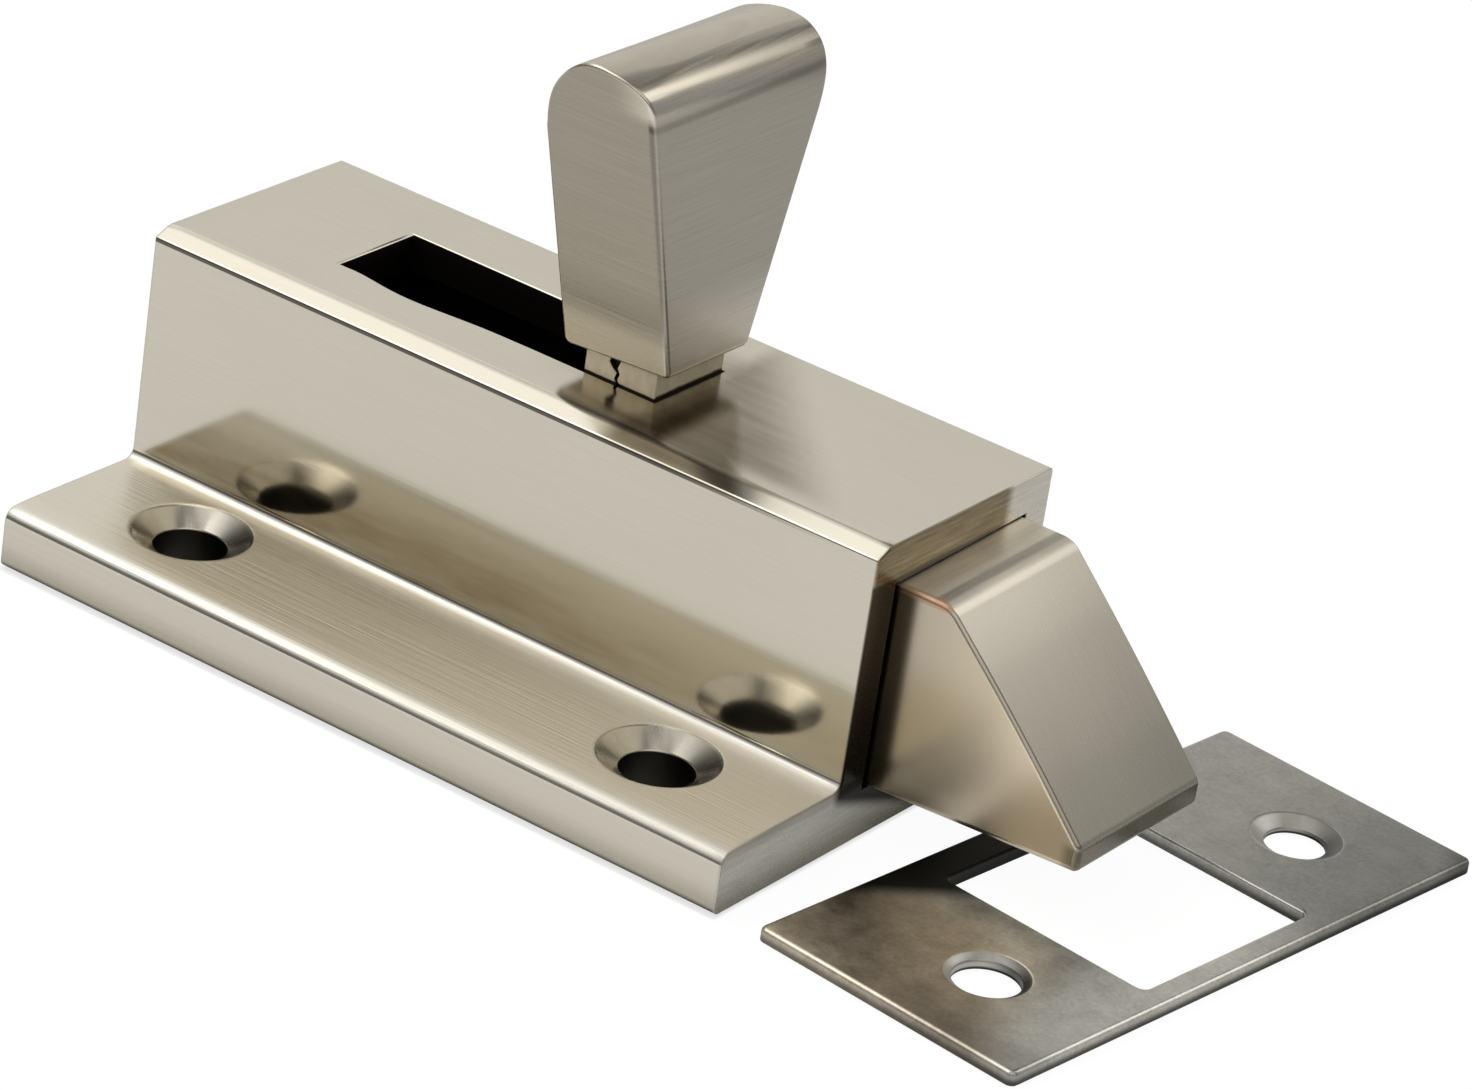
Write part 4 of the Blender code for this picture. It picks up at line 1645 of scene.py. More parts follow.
    def plug_screw_cutters(self) -> list[Solid]:
        """Cutters of the two countersunk holes under the rear plug.

        Returns:
            One turned cutter for each hole.
        """
        hole, sink = self.plug_hole / 2, self.plug_sink / 2
        over = self.over / 2
        profile = [
            (0.0, -over),
            (sink, -over),
            (sink, 0.0),
            (hole, self.plug_sink_depth),
            (hole, self.channel_low + over),
            (0.0, self.channel_low + over),
        ]
        places = [(self.plug_screw_x, side * self.plug_screw_spacing / 2, 0.0) for side in SIDES]
        return [Solid.lathe("plug_hole", profile).move(place) for place in places]


@dataclass
class SlideBolt:
    """The square-section bolt with its bevelled nose."""

    finish: BoltNickel
    nose_flat: float = 4.0 * MM
    nose_start: float = 30.0 * MM
    tip_height: float = 2.3 * MM
    top_radius: float = 2.0 * MM
    tip_radius: float = 0.8 * MM
    foot_radius: float = 0.5 * MM
    foot_start: float = -0.25 * MM
    foot_end: float = 0.5 * MM
    tilt: float = 0.026
    bevel_swell: float = 0.28 * MM
    swell_radius: float = 165 * MM
    edge: float = 0.35 * MM
    tip_edge: float = 0.45 * MM
    tip_reach: float = 4 * MM
    far_edge_share: float = 0.45
    foot_edge_share: float = 1.5
    foot_reach: float = 1 * MM
    foot_run_in: float = 3 * MM
    gap: float = 0.3 * MM
    pocket_depth: float = 21 * MM
    neck_x: float = 4.65 * MM
    neck_length: float = 5.8 * MM
    neck_width: float = 7.5 * MM
    tail_wall: float = 2.8 * MM
    over: float = 2 * MM
    low: Vector = field(init=False)
    high: Vector = field(init=False)

    def __post_init__(self) -> None:
        """Take the bolt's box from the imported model."""
        self.low, self.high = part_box("bolt")

    def outline(self) -> list[Pair]:
        """Side view of the bolt, with a bevel that swells a little in its middle.

        Returns:
            Points of the outline in X and Z.
        """
        low, high = self.low, self.high
        bend = Vector((self.nose_start + self.nose_flat, high.z))
        tip = Vector((high.x, low.z + self.tip_height))
        slope = (tip - bend).normalized()
        swell = (bend + tip) / 2 + Vector((-slope.y, slope.x)) * self.bevel_swell
        return rounded(
            [
                (low.x, low.z, 0.0),
                (self.nose_start - self.foot_run_in, low.z, 0.0),
                (self.nose_start, low.z + self.foot_start, 0.0),
                (high.x, low.z + self.foot_end, self.foot_radius),
                (*tip, self.tip_radius),
                (*swell, self.swell_radius),
                (*bend, self.top_radius),
                (low.x, high.z, 0.0),
            ],
            steps=12,
        )

    def edge_radius(self, middle: Vector) -> float:
        """Radius of an edge: small on the far side, larger along the foot and towards the tip.

        Args:
            middle: Middle of the edge.

        Returns:
            The radius.
        """
        if middle.y > 0:
            return self.edge * self.far_edge_share
        if middle.z < self.low.z + self.foot_reach:
            return self.edge * self.foot_edge_share
        start = self.high.x - self.tip_reach
        share = min(1.0, max(0.0, (middle.x - start) / (self.high.x - start)))
        return self.edge + (self.tip_edge - self.edge) * share

    def build(self) -> Solid:
        """Shape the bolt.

        Returns:
            The bolt with its finish.
        """
        bolt = Solid.prism("bolt_bar", self.outline(), self.low.y, self.high.y, Plane.SIDE)
        bolt.round_edges(self.edge_radius, segments=4)
        for vertex in bolt.object.data.vertices:
            share = min(1.0, max(0.0, (vertex.co.z - self.low.z) / (self.high.z - self.low.z)))
            vertex.co.z += share * share * self.tilt * (vertex.co.y - self.low.y)
        bolt.cut(*self.inner_cutters())
        bolt.dress(self.finish.material())
        return bolt.smooth()

    def inner_cutters(self) -> list[Solid]:
        """Cutters of the spring's pocket, the knob's mortise and the grub screw's hole.

        Returns:
            The cutters in their places.
        """
        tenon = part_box("knob")[0].z - self.gap
        half_long, half_wide = self.neck_length / 2 + self.gap, self.neck_width / 2 + self.gap
        mortise = Solid.box(
            "mortise",
            (self.neck_x - half_long, -half_wide, tenon),
            (self.neck_x + half_long, half_wide, self.high.z + self.over),
        )
        bores = []
        for name, node, depth in (
            ("pocket", "return_spring", self.pocket_depth),
            ("grub_hole", "knob_grub_screw", self.tail_wall + self.gap),
        ):
            _, _, height, radius = spindle(node)
            bore = Solid.drill(name, radius + self.gap, -self.over, depth)
            bores.append(bore.lay_along_x(self.low.x, height))
        return [*bores, mortise]


@dataclass
class PaddleKnob:
    """The paddle on its neck."""

    finish: KnobNickel
    neck_x: float = 4.65 * MM
    neck_length: float = 5.8 * MM
    neck_width: float = 7.5 * MM
    foot: float = 23.25 * MM
    foot_width: float = 8.6 * MM
    crown_width: float = 18.65 * MM
    foot_thickness: float = 8.62 * MM
    aside: float = -0.11 * MM
    crown_centre: float = 40.5 * MM
    crown_swell: float = 0.12 * MM
    crown_near: tuple[Pair, ...] = (
        (4.46, 16.9), (4.46, 17.9), (4.43, 18.8), (4.29, 19.6), (3.97, 20.3), (3.41, 20.78), (2.44, 21.22),
        (1.22, 21.55), (-0.06, 21.72), (-1.23, 21.48), (-2.25, 20.84), (-3.12, 20.0), (-3.81, 18.95),
        (-4.28, 17.65), (-4.55, 16.0),
    )
    crown_far: tuple[Pair, ...] = (
        (4.47, 15.6), (4.42, 16.7), (4.26, 17.75), (3.95, 18.6), (3.45, 19.35), (2.80, 19.92), (1.95, 20.4),
        (0.95, 20.67), (-0.10, 20.78), (-1.20, 20.7), (-2.30, 20.47), (-3.20, 20.17), (-3.90, 19.75),
        (-4.33, 19.1), (-4.45, 18.2),
    )
    lean_across: float = -2.66
    lean_along: float = -3.12
    edge: float = 0.28 * MM
    foot_edge: float = 0.5 * MM
    neck_edge: float = 0.1 * MM
    neck_reach: float = 1 * MM
    paddle_slack: float = 0.4 * MM
    rings: int = 9
    grub_radius: float = 1.8 * MM
    grub_bite: float = 1.8 * MM
    over: float = 1 * MM
    crack_depth: float = 0.5 * MM
    crack_width: float = 0.22 * MM
    crack_flare: float = 1.6
    crack_from: Pair = (0.5 * MM, -2.1 * MM)
    crack_line: tuple[Pair, ...] = (
        (-0.75, 1.9), (-0.95, 1.35), (-0.72, 1.0), (-0.85, 0.55), (-0.6, 0.2), (-0.7, -0.6),
    )
    chip: tuple[Pair, ...] = ((-1.35, 2.1), (-1.5, 1.6), (-1.2, 1.25))
    low: Vector = field(init=False)

    def __post_init__(self) -> None:
        """Take the knob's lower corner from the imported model."""
        self.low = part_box("knob")[0]

    def outline(self, share: float) -> list[Pair]:
        """Side view of the paddle at one place across it.

        Args:
            share: Place across, from -1 at its near side to 1 at its far side.

        Returns:
            Points of the outline in X and Z from the middle of the foot.
        """
        half, lift = self.foot_thickness / 2, Vector((0.0, self.crown_swell * (1 - share * share)))
        ends = zip(self.crown_near, self.crown_far)
        keys = [Vector(near).lerp(Vector(far), (1 + share) / 2) * MM + lift for near, far in ends]
        crown = drawn_through(keys)
        flanks = [
            (*crown[-1], 0.0),
            (self.aside - half, 0.0, self.foot_edge),
            (self.aside + half, 0.0, self.foot_edge),
            (*crown[0], 0.0),
        ]
        return [*rounded(flanks), *crown[1:-1]]

    def spread(self, place: Vector) -> Vector:
        """Spread the paddle's sides from its foot to its crown, and lean it as it stands.

        Args:
            place: A point of the side view, with a share of the half width for Y.

        Returns:
            The point in the frame.
        """
        slope = (self.crown_width - self.foot_width) / 2 / (self.crown_centre - self.foot)
        across = place.y * (self.foot_width / 2 + slope * place.z)
        lean = Matrix.Rotation(math.radians(self.lean_along), 3, "Y")
        stood = lean @ Vector((place.x, across, place.z))
        stood.y -= place.z * math.tan(math.radians(self.lean_across))
        return stood + Vector((self.neck_x, 0.0, self.foot))

    def build(self) -> Solid:
        """Shape the knob.

        Returns:
            The knob with its finish.
        """
        shares = [2 * step / (self.rings - 1) - 1 for step in range(self.rings)]
        rings = []
        for share in shares:
            side_view = [Plane.SIDE.point(*pair, share) for pair in self.outline(share)]
            rings.append([self.spread(place) for place in side_view])
        knob = Solid.skin("paddle_knob", rings)
        half_long, half_wide = self.neck_length / 2, self.neck_width / 2
        neck = Solid.box(
            "neck",
            (self.neck_x - half_long, -half_wide, self.low.z),
            (self.neck_x + half_long, half_wide, self.foot + self.neck_reach),
        )
        knob.cut(neck, operation="UNION")
        paddle = self.foot - self.paddle_slack
        knob.round_edges(lambda middle: self.edge if middle.z > paddle else self.neck_edge)
        knob.cut(self.crack(), self.grub_hole())
        knob.dress(self.finish.material())
        return knob.smooth()

    def grub_hole(self) -> Solid:
        """Cutter of the dimple that the grub screw bites into, in its place."""
        hole = Solid.drill("grub_bite", self.grub_radius, -self.over, self.grub_bite)
        return hole.lay_along_x(self.neck_x - self.neck_length / 2, spindle("knob_grub_screw")[2])

    def crack(self) -> Solid:
        """Cutter of the ragged crack and chip in the neck's near face.

        Returns:
            The cutter in its place.
        """
        half, depth = self.crack_width / 2, self.crack_depth
        left = [(x * MM - half, z * MM) for x, z in self.crack_line]
        right = [(x * MM + half * self.crack_flare, z * MM) for x, z in self.crack_line]
        ring = [(x * MM, z * MM) for x, z in self.chip] + left[2:] + right[::-1]
        base = Vector((self.neck_x, self.foot)) + Vector(self.crack_from)
        outline = [(base.x + x, base.y + z) for x, z in ring]
        face = -self.neck_width / 2
        return Solid.prism("crack", outline, face - depth, face + depth, Plane.SIDE)


@dataclass
class StrikePlate:
    """The loose strike plate with its window and two countersunk holes."""

    finish: StrikeSteel
    sink_finish: SinkNickel
    length: float = 46.8 * MM
    width: float = 21.0 * MM
    corner: float = 0.55 * MM
    window_long: float = 16.5 * MM
    window_wide: float = 16.6 * MM
    window_corner: float = 0.6 * MM
    window_shift: float = 0.45 * MM
    window_aside: float = -0.4 * MM
    hole_spacing: float = 31.25 * MM
    hole_shift: float = 1.75 * MM
    hole_diameter: float = 4.1 * MM
    sink_diameter: float = 6.15 * MM
    sink_depth: float = 0.6 * MM
    near_hole: float = 1.1
    near_sink: float = 0.91
    centre: Triple = (46.53 * MM, -0.7 * MM, 0.0)
    turn: float = -6.4
    edge: float = 0.33 * MM
    inner_share: float = 0.55
    under_edge: float = 0.1 * MM
    under_share: float = 0.9
    rim_reach: float = 1.2 * MM
    hole_facets: int = 64
    seam_from_window: float = 1.6 * MM
    seam_from_rim: float = 1.3 * MM
    top: float = field(init=False)

    def __post_init__(self) -> None:
        """Take the plate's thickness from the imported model."""
        self.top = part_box("strike_plate")[1].z

    def edge_radius(self, middle: Vector) -> float:
        """Radius of an edge: wide round the upper face, less in its openings, small below.

        Args:
            middle: Middle of the edge.

        Returns:
            The radius.
        """
        if middle.z < self.top * self.under_share:
            return self.under_edge
        rim = max(abs(middle.x) - self.width / 2, abs(middle.y) - self.length / 2)
        return self.edge if rim > -self.rim_reach else self.edge * self.inner_share

    def seams(self) -> list[Seam]:
        """Planes through the holes and along the window that part the pierced faces.

        Returns:
            The planes.
        """
        aside = self.window_wide / 2 + self.seam_from_window
        windows = [self.window_aside + side * aside for side in SIDES]
        holes = [side * self.hole_spacing / 2 for side in SIDES]
        ends = [side * (self.length / 2 - self.seam_from_rim) for side in SIDES]
        sides = [side * (self.width / 2 - self.seam_from_rim) for side in SIDES]
        along = square_to((1.0, 0.0, 0.0), [self.hole_shift, *sides])
        return along + square_to((0.0, 1.0, 0.0), [*windows, *holes, *ends])

    @staticmethod
    def rectangle(long: float, wide: float, radius: float, x: float = 0.0, y: float = 0.0) -> list[Pair]:
        """Outline of a rectangle, long in X and wide in Y, about a middle, with round corners."""
        signs = ((-1, -1), (1, -1), (1, 1), (-1, 1))
        return rounded([(x + a * long / 2, y + b * wide / 2, radius) for a, b in signs])

    def build(self, holes: HolePattern) -> Solid:
        """Shape the plate and lay it in its place.

        Args:
            holes: Tree that cuts countersunk holes.

        Returns:
            The plate with its finishes.
        """
        top = self.top
        outline = self.rectangle(self.width, self.length, self.corner)
        plate = Solid.prism("strike_sheet", outline, 0.0, top, Plane.FLAT)
        opening = self.rectangle(
            self.window_long, self.window_wide, self.window_corner, self.window_shift, self.window_aside
        )
        plate.cut(Solid.prism("window", opening, -top, 2 * top, Plane.FLAT))
        skin, turned = self.finish.material(), self.sink_finish.material()
        holes.bake(
            plate,
            {
                "Count": 2,
                "First Step": (0.0, self.hole_spacing, 0.0),
                "Second Step": (0.0, 0.0, 0.0),
                "Centre": (self.hole_shift, 0.0, top),
                "Hole Diameter": self.hole_diameter,
                "Sink Diameter": self.sink_diameter,
                "Sink Depth": self.sink_depth,
                "Reach": 2 * top,
                "Facets": self.hole_facets,
                "First Hole": self.near_hole,
                "First Sink": self.near_sink,
                "Plate Finish": skin,
                "Sink Finish": turned,
            },
        )
        plate.round_edges(self.edge_radius, segments=4, seams=self.seams())
        return plate.smooth().move(self.centre, self.turn)


@dataclass
class SpringDrive:
    """What is inside the case: plug, its screws, guide rod, return spring and the knob's grub screw."""

    brass: MilledBrass
    wire: Finish
    steel: Finish
    gap: float = 0.3 * MM
    plug_edge: float = 0.4 * MM
    rod_seat: float = 4.5 * MM
    rod_chamfer: float = 0.6 * MM
    screw_spacing: float = 9 * MM
    shank_radius: float = 1.25 * MM
    head_radius: float = 2.35 * MM
    head_depth: float = 1.4 * MM
    head_ease: float = 0.1 * MM
    shank_point: float = 0.2 * MM
    point_share: float = 0.7
    drive_slot: float = 0.7 * MM
    thread_pitch: float = 0.45 * MM
    thread_depth: float = 0.16 * MM
    wire_radius: float = 0.35 * MM
    spring_turns: int = 16
    spring_closing: float = 0.045
    spring_steps: int = 24
    wire_sides: int = 10
    turned_facets: int = 40
    soft_angle: float = 25.0
    grub_point: float = 0.6 * MM
    grub_ease: float = 0.3 * MM
    grub_start: float = 0.2 * MM
    grub_socket: float = 1.5 * MM
    grub_socket_depth: float = 1.8 * MM
    over: float = 1 * MM

    def thread(self, radius: float, start: float, end: float) -> list[Pair]:
        """Profile of a threaded shank.

        Args:
            radius: Outer radius.
            start: Height of its first end.
            end: Height of its second end.

        Returns:
            Radius and height of each point.
        """
        count = int((end - start) / self.thread_pitch)
        points = []
        for number in range(count):
            base = start + (end - start) * number / count
            points.append((radius - self.thread_depth, base))
            points.append((radius, base + self.thread_pitch / 2))
        points.append((radius - self.thread_depth, end))
        return points

    def build_plug(self) -> Solid:
        """Shape the plug with its rod seat and screw holes.

        Returns:
            The plug with its finish.
        """
        low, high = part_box("rear_plug")
        _, _, height, radius = spindle("spring_guide_rod")
        plug = Solid.box("plug_block", low, high)
        plug.round_edges(lambda middle: self.plug_edge, segments=4)
        seat = Solid.drill("rod_seat", radius + self.gap, -self.rod_seat - self.gap, self.over)
        plug.cut(seat.lay_along_x(high.x, height))
        screw_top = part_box("plug_screw_near")[1].z + 2 * self.gap
        for side in SIDES:
            bore = Solid.drill("bite", self.shank_radius + self.gap, low.z - self.over, screw_top)
            plug.cut(bore.move(((low.x + high.x) / 2, side * self.screw_spacing / 2, 0.0)))
        plug.dress(self.brass.material())
        return plug.smooth()

    def build_screws(self, row: ScrewRow) -> Solid:
        """Shape one slotted screw and set a pair of them.

        Args:
            row: Tree that sets screws in a row.

        Returns:
            Both screws as one piece.
        """
        low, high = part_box("plug_screw_near")
        height = high.z - low.z
        profile = [(0.0, 0.0), (self.head_radius - self.head_ease, 0.0), (self.head_radius, self.head_ease)]
        profile += self.thread(self.shank_radius, self.head_depth, height - self.shank_point)
        profile += [(self.shank_radius * self.point_share, height), (0.0, height)]
        screw = Solid.lathe("screw", profile, facets=self.turned_facets)
        half, reach = self.drive_slot / 2, self.head_radius + self.over
        slot = Solid.box("drive_slot", (-half, -reach, -self.over), (half, reach, self.drive_slot))
        screw.cut(slot)
        pair = Solid("plug_screws", bpy.data.meshes.new("plug_screws"))
        row.bake(
            pair,
            {
                "Screw": screw.object,
                "Count": 2,
                "Spacing": self.screw_spacing,
                "Centre": ((low.x + high.x) / 2, 0.0, low.z),
                "Finish": self.steel.material(),
            },
        )
        screw.discard()
        return pair.smooth()

    def build_rod(self) -> Solid:
        """Turn the guide rod, with chamfered ends.

        Returns:
            The rod with its finish.
        """
        start, length, height, radius = spindle("spring_guide_rod")
        ease = self.rod_chamfer
        profile = [
            (0.0, 0.0),
            (radius - ease, 0.0),
            (radius, ease),
            (radius, length - 2 * ease),
            (radius - ease, length),
            (0.0, length),
        ]
        rod = Solid.lathe("guide_rod", profile).lay_along_x(start, height)
        rod.dress(self.wire.material())
        return rod.smooth(least=self.soft_angle)

    def build_spring(self, helix: HelixWire) -> Solid:
        """Wind the return spring.

        Args:
            helix: Tree that winds a wire.

        Returns:
            The spring with its finish.
        """
        start, length, height, radius = spindle("return_spring")
        spring = Solid("coil_spring", bpy.data.meshes.new("coil_spring"))
        helix.bake(
            spring,
            {
                "Start": (start + self.wire_radius, 0.0, height),
                "Length": length - 2 * self.wire_radius,
                "Turns": float(self.spring_turns),
                "Coil Radius": radius - self.wire_radius,
                "Wire Radius": self.wire_radius,
                "Closing": self.spring_closing,
                "Steps": self.spring_turns * self.spring_steps + 1,
                "Sides": self.wire_sides,
                "Finish": self.wire.material(),
            },
        )
        return spring

    def build_grub(self) -> Solid:
        """Turn the grub screw and sink its hexagon socket.

        Returns:
            The screw with its finish.
        """
        start, length, height, radius = spindle("knob_grub_screw")
        profile = [(0.0, 0.0), (radius - self.grub_ease, 0.0)]
        profile += self.thread(radius, self.grub_start, length - self.grub_point)
        profile += [(radius - self.grub_point, length), (0.0, length)]
        grub = Solid.lathe("grub_screw", profile, facets=self.turned_facets)
        reach = self.grub_socket / 2 / math.cos(math.pi / 6)
        turns = [math.pi / 3 * corner for corner in range(6)]
        hexagon = [(reach * math.cos(turn), reach * math.sin(turn)) for turn in turns]
        grub.cut(Solid.prism("socket", hexagon, -self.over, self.grub_socket_depth, Plane.FLAT))
        grub.lay_along_x(start, height)
        grub.dress(self.steel.material())
        return grub.smooth(least=self.soft_angle)


@dataclass(frozen=True)
class Softbox:
    """A soft area lamp.

    Azimuth and elevation point from the object to the lamp; glow is its radiance.
    """

    name: str
    azimuth: float
    elevation: float
    distance: float
    width: float
    height: float
    glow: float

    def place(self, target: Vector) -> None:
        """Hang the lamp, turned to the target.

        Args:
            target: Point that it faces.
        """
        data = bpy.data.lights.new(self.name, "AREA")
        data.shape = "RECTANGLE"
        data.size = self.width
        data.size_y = self.height
        data.energy = self.glow * math.pi * self.width * self.height
        lamp = bpy.data.objects.new(self.name, data)
        away = bearing(self.azimuth, self.elevation)
        lamp.location = target + away * self.distance
        lamp.rotation_euler = away.to_track_quat("Z", "Y").to_euler()
        bpy.context.scene.collection.objects.link(lamp)


def bearing(azimuth: float, elevation: float) -> Vector:
    """Unit vector to a place round the object, in degrees; nought round Z is -Y and ninety is +X."""
    round_z, up = math.radians(azimuth), math.radians(elevation)
    return Vector((math.sin(round_z) * math.cos(up), -math.cos(round_z) * math.cos(up), math.sin(up)))


@dataclass(frozen=True)
class SkyPanel:
    """A light panel of the room that the metal mirrors.

    Azimuth is its middle, half_width its reach to each side, low and high its edges, and soft the width
    over which its edges fade, all in degrees; level is its radiance.
    """

    azimuth: float
    half_width: float
    low: float
    high: float
    soft: float
    level: float


@dataclass
class Studio:
    """Floor, lamps, the room that the metal mirrors, and the camera.

    The floor's marks are placed in millimetres: white_edge ahead of the object, white_reach away from
    it, its footprint, and the widths over which that fades.
    """

    azimuth: float = 32.47
    elevation: float = 25.99
    roll: float = 8.83
    eye: Triple = (209.0 * MM, -307.9 * MM, 189.9 * MM)
    lens: float = 151.62
    target: Triple = (8 * MM, 0.0, 8 * MM)
    floor_drop: float = 0.15 * MM
    floor_half: float = 1.6
    floor_colour: Triple = (0.80, 0.79, 0.77)
    white_level: float = 1.08
    white_to_camera: float = 0.88
    contact: float = 0.25
    white_ahead: float = 0.47
    white_beside: float = 0.38
    white_behind: float = 0.07
    white_bearing: float = 340.0
    white_edge: Pair = (-10.0, 12.0)
    white_reach: Pair = (42.0, 62.0)
    footprint: Pair = (30.0, 22.6)
    footprint_fade: float = 4.0
    contact_width: float = 0.3
    floor_cloud: float = 0.02
    sensor: float = 36.0
    clip_start: float = 0.01
    room_level: float = 0.14
    room_tint: Triple = (1.0, 0.985, 0.955)
    panels: tuple[SkyPanel, ...] = (
        SkyPanel(217.0, 21.0, -30.0, 33.0, 5.0, 0.58),
        SkyPanel(226.0, 14.0, 29.0, 37.0, 4.0, 0.22),
        SkyPanel(158.0, 18.0, 32.0, 62.0, 7.0, 1.05),
        SkyPanel(150.0, 22.0, 8.0, 30.0, 12.0, 0.22),
        SkyPanel(275.0, 45.0, 46.0, 91.0, 20.0, 0.85),
        SkyPanel(258.0, 16.0, 50.0, 68.0, 8.0, 0.35),
        SkyPanel(328.0, 34.0, 28.0, 46.0, 12.0, 0.38),
        SkyPanel(45.0, 35.0, 30.0, 75.0, 12.0, 0.55),
    )
    lamps: tuple[Softbox, ...] = (Softbox("key", -58.0, 55.0, 0.9, 0.45, 0.45, 1.4),)

    def build(self) -> None:
        """Set up floor, lamps, room and camera."""
        self.lay_floor()
        for lamp in self.lamps:
            lamp.place(Vector(self.target))
        self.paint_room()
        self.aim_camera()
        bpy.context.scene.view_settings.view_transform = "Standard"

    def lay_floor(self) -> None:
        """A pale floor that stays near white to the camera and keeps the object's shadow."""
        half, top = self.floor_half, -self.floor_drop
        floor = Solid.box("floor", (-half, -half, top - 5 * MM), (half, half, top))
        surface = Surface("pale_floor")
        x, y = surface.x, surface.y
        rays = surface.node("ShaderNodeLightPath").socket.node.outputs
        kinds = ("Is Camera Ray", "Is Glossy Ray", "Is Transmission Ray")
        camera, gloss, through = (Field(surface, Graph.pick(rays, kind)) for kind in kinds)
        turn = math.radians(self.white_bearing)
        ahead = (x * math.sin(turn) - y * math.cos(turn)).rise(*self.white_edge)
        behind = surface.length(x, y).rise(*self.white_reach, self.white_beside, self.white_behind)
        aside = (abs(x) - self.footprint[0]).greater(abs(y) - self.footprint[1])
        seen = (behind + ahead * (self.white_ahead - behind)) * aside.rise(0.0, self.footprint_fade)
        contact = aside.fall(0.0, self.contact_width) * self.contact
        share = camera * (self.white_to_camera * (1 - contact)) + gloss.greater(through) * seen
        tone = 1 + surface.noise((9.0, 9.0, 9.0)) * self.floor_cloud
        matt = surface.node("ShaderNodeBsdfDiffuse", {}, {"Color": surface.scale(self.floor_colour, tone)})
        white = surface.node("ShaderNodeEmission", {}, {"Color": WHITE, "Strength": self.white_level})
        both = surface.node("ShaderNodeMixShader", {}, {"Fac": share, "Shader": matt, "Shader_001": white})
        surface.node("ShaderNodeOutputMaterial", {}, {"Surface": both})
        floor.dress(surface.material)

    def paint_room(self) -> None:
        """Give the world its light and dark patches, and show it white to the camera."""
        world = bpy.data.worlds.new("studio")
        bpy.context.scene.world = world
        world.use_nodes = True
        graph = Graph(world.node_tree)
        graph.tree.nodes.clear()
        x, y, z = graph.split(graph.node("ShaderNodeTexCoord", output="Generated"))
        flat = graph.math("SQRT", x * x + y * y + 1e-6)
        height = graph.math("ARCSINE", z) * math.degrees(1.0)
        level: Field | float = self.room_level
        for panel in self.panels:
            middle = math.radians(panel.azimuth)
            inner, outer = panel.half_width, panel.half_width + panel.soft
            beside = (x * math.sin(middle) - y * math.cos(middle)) / flat
            across = beside.rise(math.cos(math.radians(outer)), math.cos(math.radians(inner)))
            upright = height.band(panel.low - panel.soft, panel.low, panel.high, panel.high + panel.soft)
            level = level + across * upright * panel.level
        path = graph.node("ShaderNodeLightPath", output="Is Camera Ray")
        room = graph.node("ShaderNodeBackground", {}, {"Color": self.room_tint, "Strength": level})
        white = graph.node("ShaderNodeBackground", {}, {"Color": WHITE, "Strength": 1.0})
        both = graph.node("ShaderNodeMixShader", {}, {"Fac": path, "Shader": room, "Shader_001": white})
        graph.node("ShaderNodeOutputWorld", {}, {"Surface": both})

    def aim_camera(self) -> None:
        """Stand the camera where the photograph was taken from."""
        data = bpy.data.cameras.new("camera")
        data.lens = self.lens
        data.sensor_width = self.sensor
        data.clip_start = self.clip_start
        back = bearing(self.azimuth, self.elevation)
        level = bearing(self.azimuth + 90.0, 0.0)
        above = back.cross(level)
        roll = math.radians(self.roll)
        right = level * math.cos(roll) + above * math.sin(roll)
        up = above * math.cos(roll) - level * math.sin(roll)
        turn = Matrix((right, up, back)).transposed().to_4x4()
        camera = bpy.data.objects.new("camera", data)
        camera.matrix_world = Matrix.Translation(self.eye) @ turn
        bpy.context.scene.collection.objects.link(camera)
        bpy.context.scene.camera = camera


NICKEL = (0.70, 0.66, 0.565)


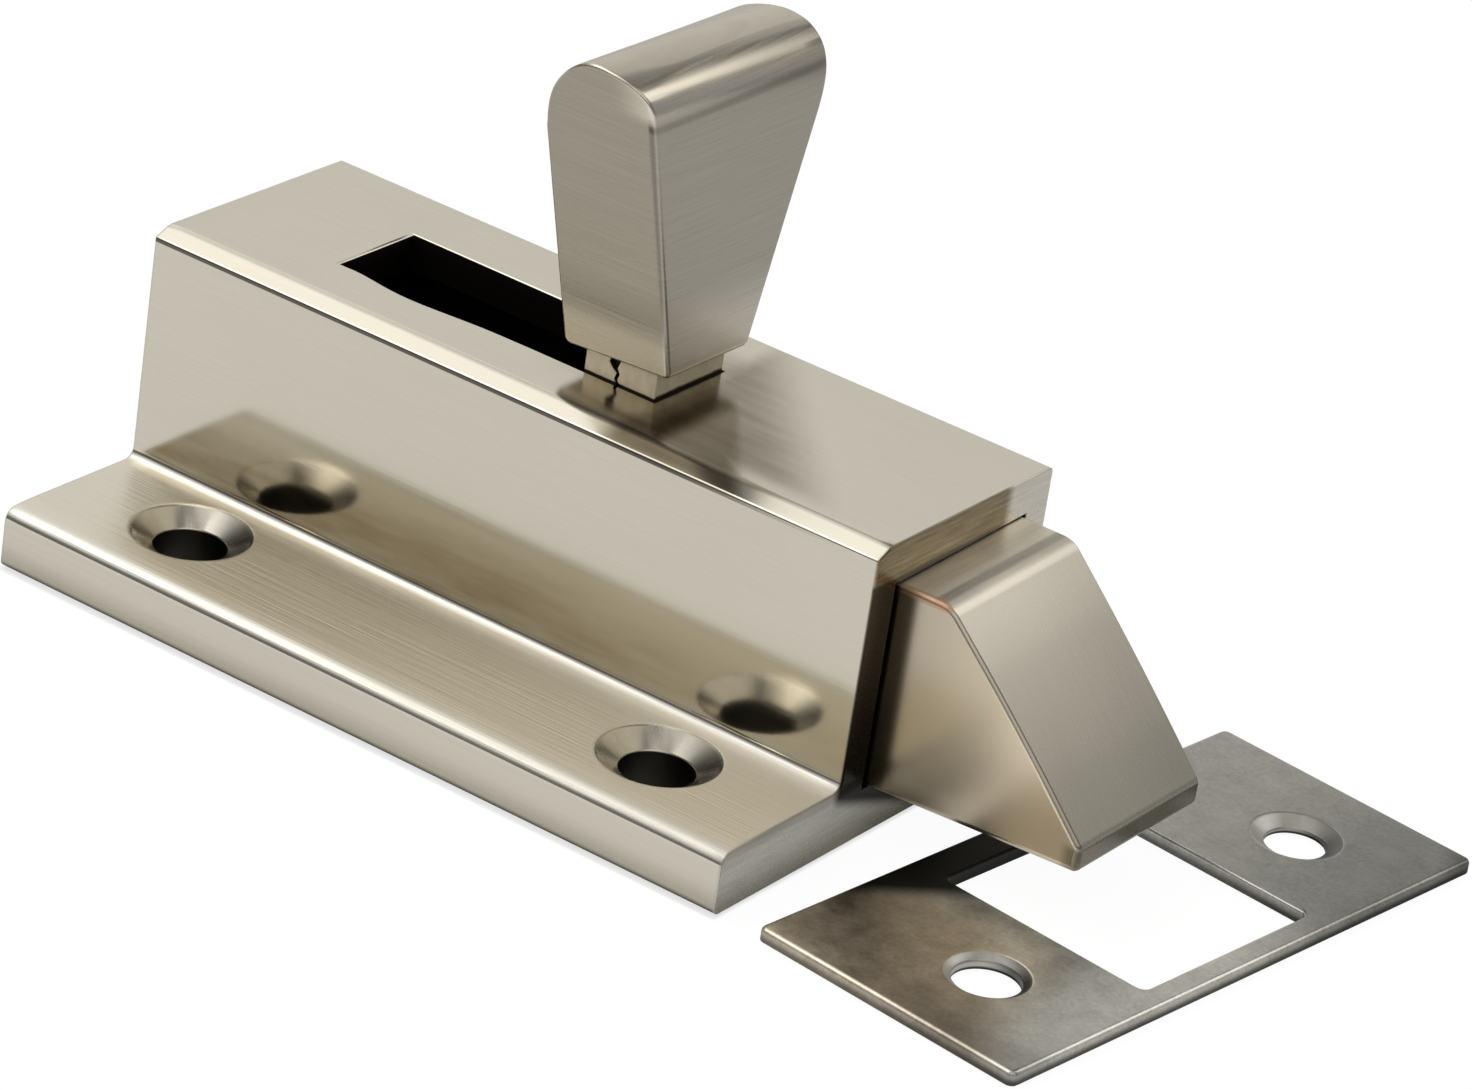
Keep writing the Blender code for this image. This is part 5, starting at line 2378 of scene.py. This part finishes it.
def main() -> None:
    """Build the bolt, dress it and set the studio round it."""
    logging.basicConfig(level=logging.INFO, format="%(message)s")
    holes = HolePattern()
    case_sink = SinkNickel(
        "turned_nickel", NICKEL, 0.25, Brushing.EVEN, reach_along=19.7, reach_across=15.35
    )
    case = LatchCase(CaseNickel("case_nickel_fine", NICKEL, 0.11, Brushing.LENGTHWISE), case_sink)
    case.build(holes).fit("case", "case_nickel", "latch_case")
    bolt = SlideBolt(BoltNickel("bolt_nickel_fine", (0.66, 0.615, 0.52), 0.27, Brushing.DOWNSLOPE))
    bolt.build().fit("bolt", "bolt_nickel", "bolt")
    knob_skin = KnobNickel(
        "knob_nickel_fine", (0.45, 0.415, 0.345), 0.30, Brushing.LEVEL, streak_tone=0.42, streak_gloss=0.2
    )
    PaddleKnob(knob_skin).build().fit("bolt", "knob_nickel", "knob")
    strike = StrikePlate(
        StrikeSteel("strike_steel_fine", (0.66, 0.645, 0.59), 0.36, Brushing.EVEN),
        SinkNickel(
            "turned_steel",
            (0.62, 0.60, 0.55),
            0.42,
            Brushing.EVEN,
            centre=(48.42, -0.91, 0.0),
            turn=-6.4,
            reach_across=15.6,
            bottom=0.3,
            shine=1.0,
        ),
    )
    strike.build(holes).fit("strike", "strike_steel", "strike_plate")
    drive = SpringDrive(
        MilledBrass("plain_brass_fine", (0.60, 0.47, 0.26), 0.32, Brushing.EVEN),
        Finish("drawn_wire", (0.30, 0.29, 0.275), 0.35, Brushing.DRAWN),
        Finish("screw_steel_fine", (0.40, 0.40, 0.41), 0.30, Brushing.EVEN),
    )
    drive.build_plug().fit("case", "plain_brass", "rear_plug")
    drive.build_screws(ScrewRow()).fit("case", "screw_steel", "plug_screw_near", "plug_screw_far")
    drive.build_rod().fit("case", "spring_steel", "spring_guide_rod")
    spring = drive.build_spring(HelixWire())
    spring.fit("case", "spring_steel", "return_spring")
    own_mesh(spring.object)
    drive.build_grub().fit("bolt", "screw_steel", "knob_grub_screw")
    Studio().build()


if __name__ == "__main__":
    main()
